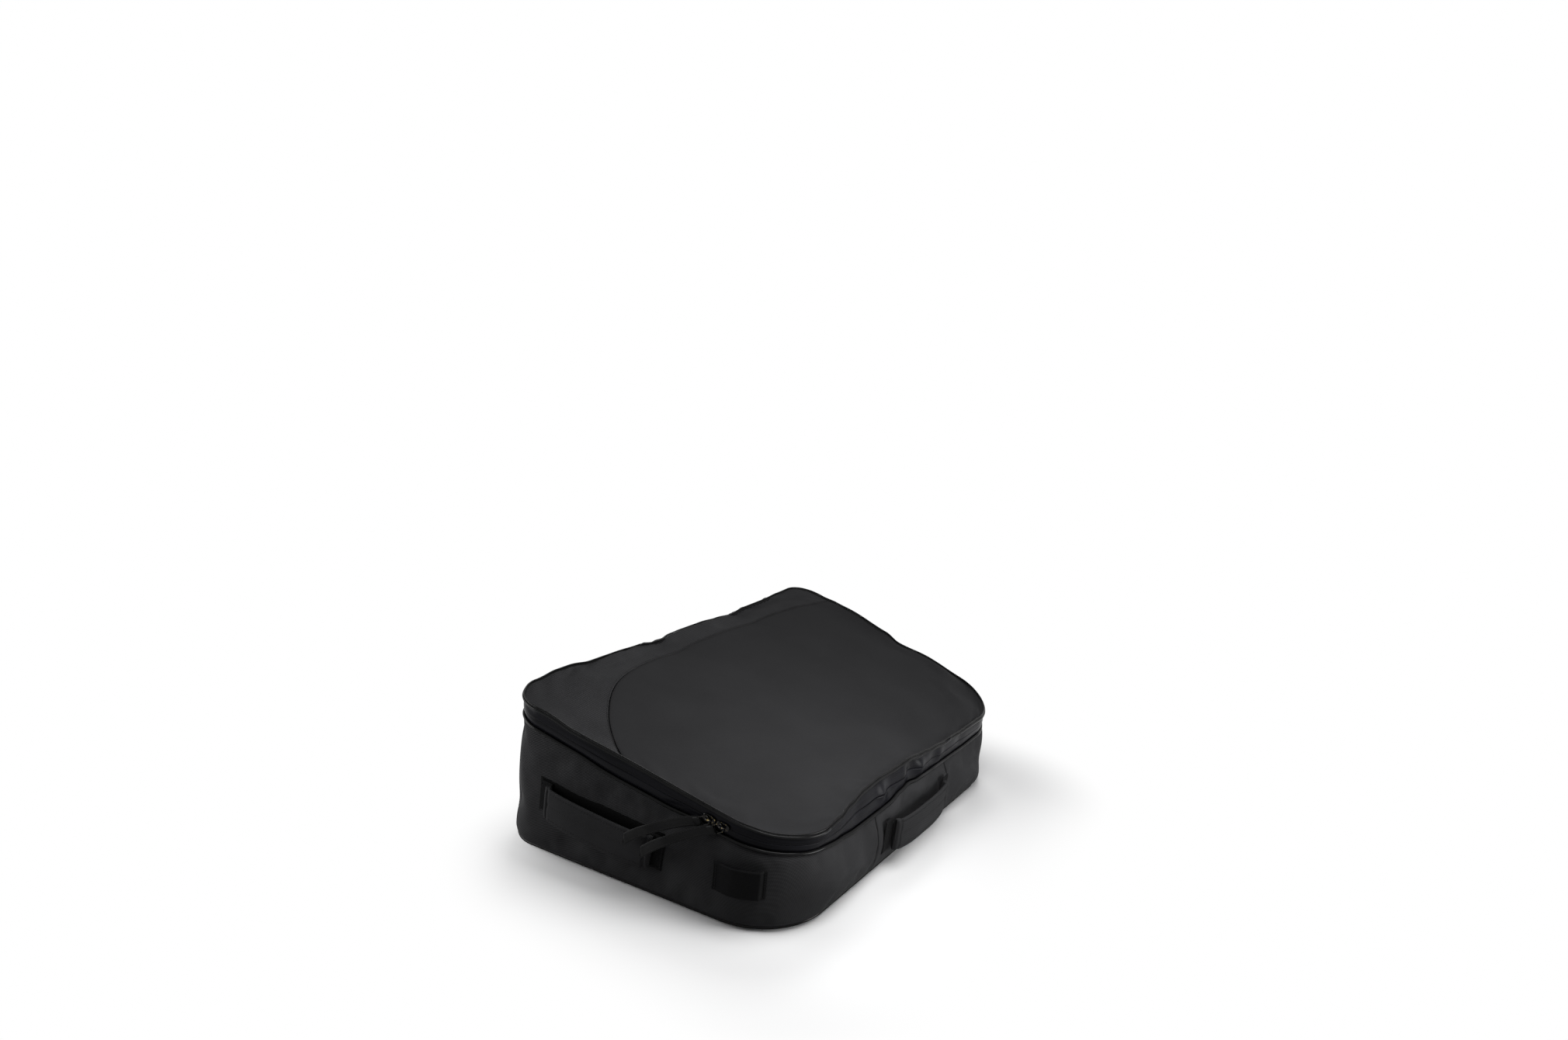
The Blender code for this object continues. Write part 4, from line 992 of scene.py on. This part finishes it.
# Pulls.
def make_pull(letter, s):
    """Pull strap: a flat rounded section with rolled edges, carried along a smooth step out over the handle
    and half a sine aside; its moulded clamp and its stitches."""
    origin, axes = frame_at(s, 0, -BAND / 2)
    hang = math.pi + math.radians(PULL_ANGLES[letter])
    turned = np.array((axes[0] * math.cos(hang) + axes[1] * math.sin(hang),
                       axes[1] * math.cos(hang) - axes[0] * math.sin(hang), axes[2]))
    origin = origin + axes[2] * PIN_HEIGHT
    share = np.linspace(0, 1, 72)
    ramp = np.minimum(1, share / 0.62)
    lean, bow, over, phase = PULL_HANGS[letter]
    rise = (STRAP_CLEARANCE - PIN_HEIGHT + over) * ramp ** 2 * (3 - 2 * ramp)
    x = BAIL_LENGTH - 0.0019 + (STRAP_LENGTH + 0.0047) * share
    aside = lean * share + bow * np.sin(math.pi * share)
    turn = np.linspace(0, 2 * math.pi, 28, endpoint=False)
    y, z = rounded(turn, 0.6)
    wide = STRAP_WIDTH / 2 * (0.92 + 0.08 * share)
    wide = wide * np.sqrt(np.clip(1 - np.clip((share - 0.985) / 0.015, 0, 1) ** 2, 0.3, 1))
    thick = 0.0010 + 0.0004 * np.exp(-((share - 0.97) / 0.03) ** 2)
    ridge = 1 + 0.35 * np.exp(-((np.abs(y) - 0.8) / 0.12) ** 2) + 0.30 * np.exp(-(y / 0.16) ** 2)
    curl = 0.0012 * np.sin(share * 7.0 + phase)
    tip = 0.0035 * share[None, :] ** 30 * y[:, None]
    level = rise[None, :] + curl[None, :] * y[:, None] + z[:, None] * thick[None, :] * ridge[:, None]
    points = np.stack((x[None, :] + tip, y[:, None] * wide[None, :] + aside[None, :], level), -1)
    obj = surface("pull_strap_%s_cloth" % letter, placed(points, origin, turned),
                  flat_uv(np.linspace(0, 2 * STRAP_WIDTH, len(turn) + 1), x), wrap_rows=True, ends=True)
    dress(obj, "pull_" + letter, STRAP, ("pull_strap_" + letter,))
    k = np.linspace(-1, 1, 15)
    close = np.sqrt(np.clip(1 - np.abs(k) ** 8, 0.02, 1))
    block = np.stack((np.broadcast_to(BAIL_LENGTH + 0.0032 + 0.0052 * k, (len(turn), len(k))),
                      y[:, None] * (0.0058 + 0.0008 * k)[None, :] * close + aside[3],
                      z[:, None] * 0.0023 * close[None, :] + rise[4]), -1)
    clamp = surface("pull_clamp_" + letter, placed(block, origin, turned),
                    flat_uv(np.arange(len(turn) + 1) * 0.001, k * 0.005), wrap_rows=True, ends=True)
    dress(clamp, "pull_" + letter, COIL)
    rows = []
    inner = (share > 0.14) & (share < 0.96)
    for at in (-0.66, 0.66):
        path = np.stack((x, at * wide + aside, rise + curl * at + thick * 1.02), -1)[inner]
        rows.append(sewn(placed(path, origin, turned), turned[2], *STRAP_STITCH))
    thread("pull_%s_stitches" % letter, rows, "pull_" + letter, THREAD)


# Stage.
# Lamps: name, place, what it is aimed at, power in watts and width in metres.
LAMPS = (("nose_lamp", (-0.18, -0.30, 0.54), (-0.10, -0.14, 0.12), 3.2, 0.35),
         ("front_lamp", (0.6, -1.75, 0.45), (0, -0.1, 0.1), 24, 0.8),
         ("side_lamp", (-0.76, 0.62, 0.34), (-0.36, 0.22, 0.12), 3.6, 0.4),
         ("rear_lamp", (-0.8, 2.0, 0.9), (-0.2, 0.2, 0.1), 10, 0.8),
         ("top_lamp", (1.3, 0.8, 2.3), (0, 0, 0.1), 22, 0.9))
FLOOR_REACH, FLOOR_LEVEL, FLOOR_INSET = 9.0, -0.0004, 0.06
# How pale the floor is for the light that bounces off it, and where the camera sees it, which shows only near
# the bag and is kept low there for painted shade.
FLOOR_LIT, FLOOR_SEEN = 0.45, 0.74
# Painted shade round the bag: the floor's white glow is shifted towards the camera's side and fades out
# between these distances from the bag's outline.
SHADOW_SHIFT, SHADOW_NEAR, SHADOW_FAR = (-0.020, -0.055, 0), 0.03, 0.21
# The photo's camera: azimuth, elevation and roll in degrees, and its distance in metres.
CAMERA_TURN, CAMERA_DISTANCE = (-57.82, 27.37, 5.353), 1.4383
CAMERA_TARGET = (-0.10374, -0.01361 + CENTRE_Y - 0.0012, 0.07997)
# Its lens in pixels of the photo: the photo's width and middle, the lens's middle and its focal length.
PHOTO_WIDTH, PHOTO_MIDDLE, LENS_MIDDLE, LENS_PIXELS = 2020, (1010, 670), (970, 1000), 1308.73
SENSOR_WIDTH = 36.0


def seen_rays(tree):
    """Two values: 1 where the camera looks straight at a thing, and 1 where it looks, also by a gloss or
    through something."""
    rays = tree.nodes.new("ShaderNodeLightPath")
    direct = last = rays.outputs["Is Camera Ray"]
    for kind in ("Is Glossy Ray", "Is Transmission Ray"):
        most = tree.nodes.new("ShaderNodeMath")
        most.operation = 'MAXIMUM'
        tree.links.new(last, most.inputs[0])
        tree.links.new(rays.outputs[kind], most.inputs[1])
        last = most.outputs["Value"]
    return direct, last


def make_floor():
    """Pale floor that keeps the bag's shadow from the lamps: its paint fades to a plain white glow with the
    distance from the bag's outline, taken as the length of what the place lies outside a rectangle, so the
    floor also darkens towards the bag as painted shade."""
    mesh = bpy.data.meshes.new("floor")
    around = ((-1, -1), (1, -1), (1, 1), (-1, 1))
    corners = [(x * FLOOR_REACH, y * FLOOR_REACH, FLOOR_LEVEL) for x, y in around]
    mesh.from_pydata(corners, [], [(0, 1, 2, 3)])
    floor = bpy.data.objects.new("floor", mesh)
    bpy.context.scene.collection.objects.link(floor)
    mat = bpy.data.materials.new("pale_floor")
    mat.use_nodes = True
    tree = mat.node_tree
    paint = tree.nodes["Principled BSDF"]
    paint.inputs["Roughness"].default_value = 0.95
    paint.inputs["Specular IOR Level"].default_value = 0.0
    direct, seen = seen_rays(tree)
    tint = tree.nodes.new("ShaderNodeMapRange")
    tint.inputs["To Min"].default_value = FLOOR_LIT
    tint.inputs["To Max"].default_value = FLOOR_SEEN
    place = tree.nodes.new("ShaderNodeTexCoord")
    steps = [tree.nodes.new("ShaderNodeVectorMath") for _ in range(5)]
    for item, operation in zip(steps, ('SUBTRACT', 'ABSOLUTE', 'SUBTRACT', 'MAXIMUM', 'LENGTH')):
        item.operation = operation
    steps[0].inputs[1].default_value = SHADOW_SHIFT
    steps[2].inputs[1].default_value = (REAR_WIDTH / 2 - FLOOR_INSET, LID_DEPTH / 2 - FLOOR_INSET, 0)
    steps[3].inputs[1].default_value = (0, 0, 0)
    for before, after in zip(steps, steps[1:]):
        tree.links.new(before.outputs["Vector"], after.inputs[0])
    # Painted shade: the white glow fades in with the distance from the bag's outline.
    fade = tree.nodes.new("ShaderNodeMapRange")
    fade.interpolation_type = 'SMOOTHSTEP'
    for key, value in (("From Min", SHADOW_NEAR), ("From Max", SHADOW_FAR), ("To Min", 0.0), ("To Max", 1.0)):
        fade.inputs[key].default_value = value
    share = tree.nodes.new("ShaderNodeMath")
    share.operation = 'MULTIPLY'
    glow = tree.nodes.new("ShaderNodeEmission")
    mix = tree.nodes.new("ShaderNodeMixShader")
    for source, target in ((direct, tint.inputs["Value"]),
                           (tint.outputs["Result"], paint.inputs["Base Color"]),
                           (place.outputs["Object"], steps[0].inputs[0]),
                           (steps[4].outputs["Value"], fade.inputs["Value"]),
                           (fade.outputs["Result"], share.inputs[0]),
                           (seen, share.inputs[1]),
                           (share.outputs["Value"], mix.inputs["Fac"]),
                           (paint.outputs["BSDF"], mix.inputs[1]),
                           (glow.outputs["Emission"], mix.inputs[2]),
                           (mix.outputs["Shader"], tree.nodes["Material Output"].inputs["Surface"])):
        tree.links.new(source, target)
    mesh.materials.append(mat)


def make_world():
    """Plain soft light all round, and white where the camera looks past the bag."""
    world = bpy.data.worlds.new("studio")
    world.use_nodes = True
    bpy.context.scene.world = world
    tree = world.node_tree
    back = tree.nodes["Background"]
    back.inputs["Color"].default_value = (0.085, 0.085, 0.09, 1)
    white = tree.nodes.new("ShaderNodeBackground")
    white.inputs["Color"].default_value = (1, 1, 1, 1)
    mix = tree.nodes.new("ShaderNodeMixShader")
    for source, target in ((seen_rays(tree)[1], mix.inputs["Fac"]),
                           (back.outputs["Background"], mix.inputs[1]),
                           (white.outputs["Background"], mix.inputs[2]),
                           (mix.outputs["Shader"], tree.nodes["World Output"].inputs["Surface"])):
        tree.links.new(source, target)


def make_lamps():
    """Five soft square lamps, each turned to what it is aimed at."""
    for name, place, aim, power, width in LAMPS:
        lamp = bpy.data.lights.new(name, 'AREA')
        lamp.energy = power
        lamp.shape = 'SQUARE'
        lamp.size = width
        obj = bpy.data.objects.new(name, lamp)
        obj.location = place
        obj.rotation_euler = (Vector(aim) - Vector(place)).to_track_quat('-Z', 'Y').to_euler()
        bpy.context.scene.collection.objects.link(obj)


def make_camera():
    """The photo's camera: its back axis from azimuth and elevation, its other two turned by the roll."""
    az, el, roll = (math.radians(angle) for angle in CAMERA_TURN)
    back = np.array((math.sin(az) * math.cos(el), -math.cos(az) * math.cos(el), math.sin(el)))
    right = np.cross((0, 0, 1), back)
    right /= np.linalg.norm(right)
    up = np.cross(back, right)
    right, up = (right * math.cos(roll) + up * math.sin(roll), up * math.cos(roll) - right * math.sin(roll))
    data = bpy.data.cameras.new("camera")
    data.sensor_width = SENSOR_WIDTH
    data.lens = SENSOR_WIDTH * LENS_PIXELS / PHOTO_WIDTH
    data.shift_x = (PHOTO_MIDDLE[0] - LENS_MIDDLE[0]) / PHOTO_WIDTH
    data.shift_y = (LENS_MIDDLE[1] - PHOTO_MIDDLE[1]) / PHOTO_WIDTH
    data.clip_start = 0.05
    camera = bpy.data.objects.new("camera", data)
    matrix = np.eye(4)
    matrix[:3, 0], matrix[:3, 1], matrix[:3, 2] = right, up, back
    matrix[:3, 3] = np.array(CAMERA_TARGET) + back * CAMERA_DISTANCE
    camera.matrix_world = Matrix(matrix.tolist())
    bpy.context.scene.collection.objects.link(camera)
    bpy.context.scene.camera = camera
    bpy.context.scene.view_settings.view_transform = 'Standard'


make_floor()
make_world()
make_lamps()
make_camera()
lid_rows_sewn = make_lid()
make_cords()
make_zip()
make_hinge()
make_walls()
make_bottom()
tub_rows = []
for side, s in (("left", SIDE_HANDLE), ("nose", HALF + 0.003), ("right", ROUND - SIDE_HANDLE)):
    tub_rows += make_handle(side, s)
tub_rows += make_loop()
for letter, s in (("a", SIDE_END - SLIDER_LEAD - SLIDER_PITCH), ("b", SIDE_END - SLIDER_LEAD)):
    make_pull(letter, s)
thread("lid_stitches", lid_rows_sewn, "lid", THREAD)
thread("wall_stitches", tub_rows, "tub", THREAD)
for name in ("zip_slider_a", "zip_slider_b", "zip_bail_a", "zip_bail_b"):
    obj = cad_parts[name]
    for slot in obj.material_slots:
        slot.material = METAL
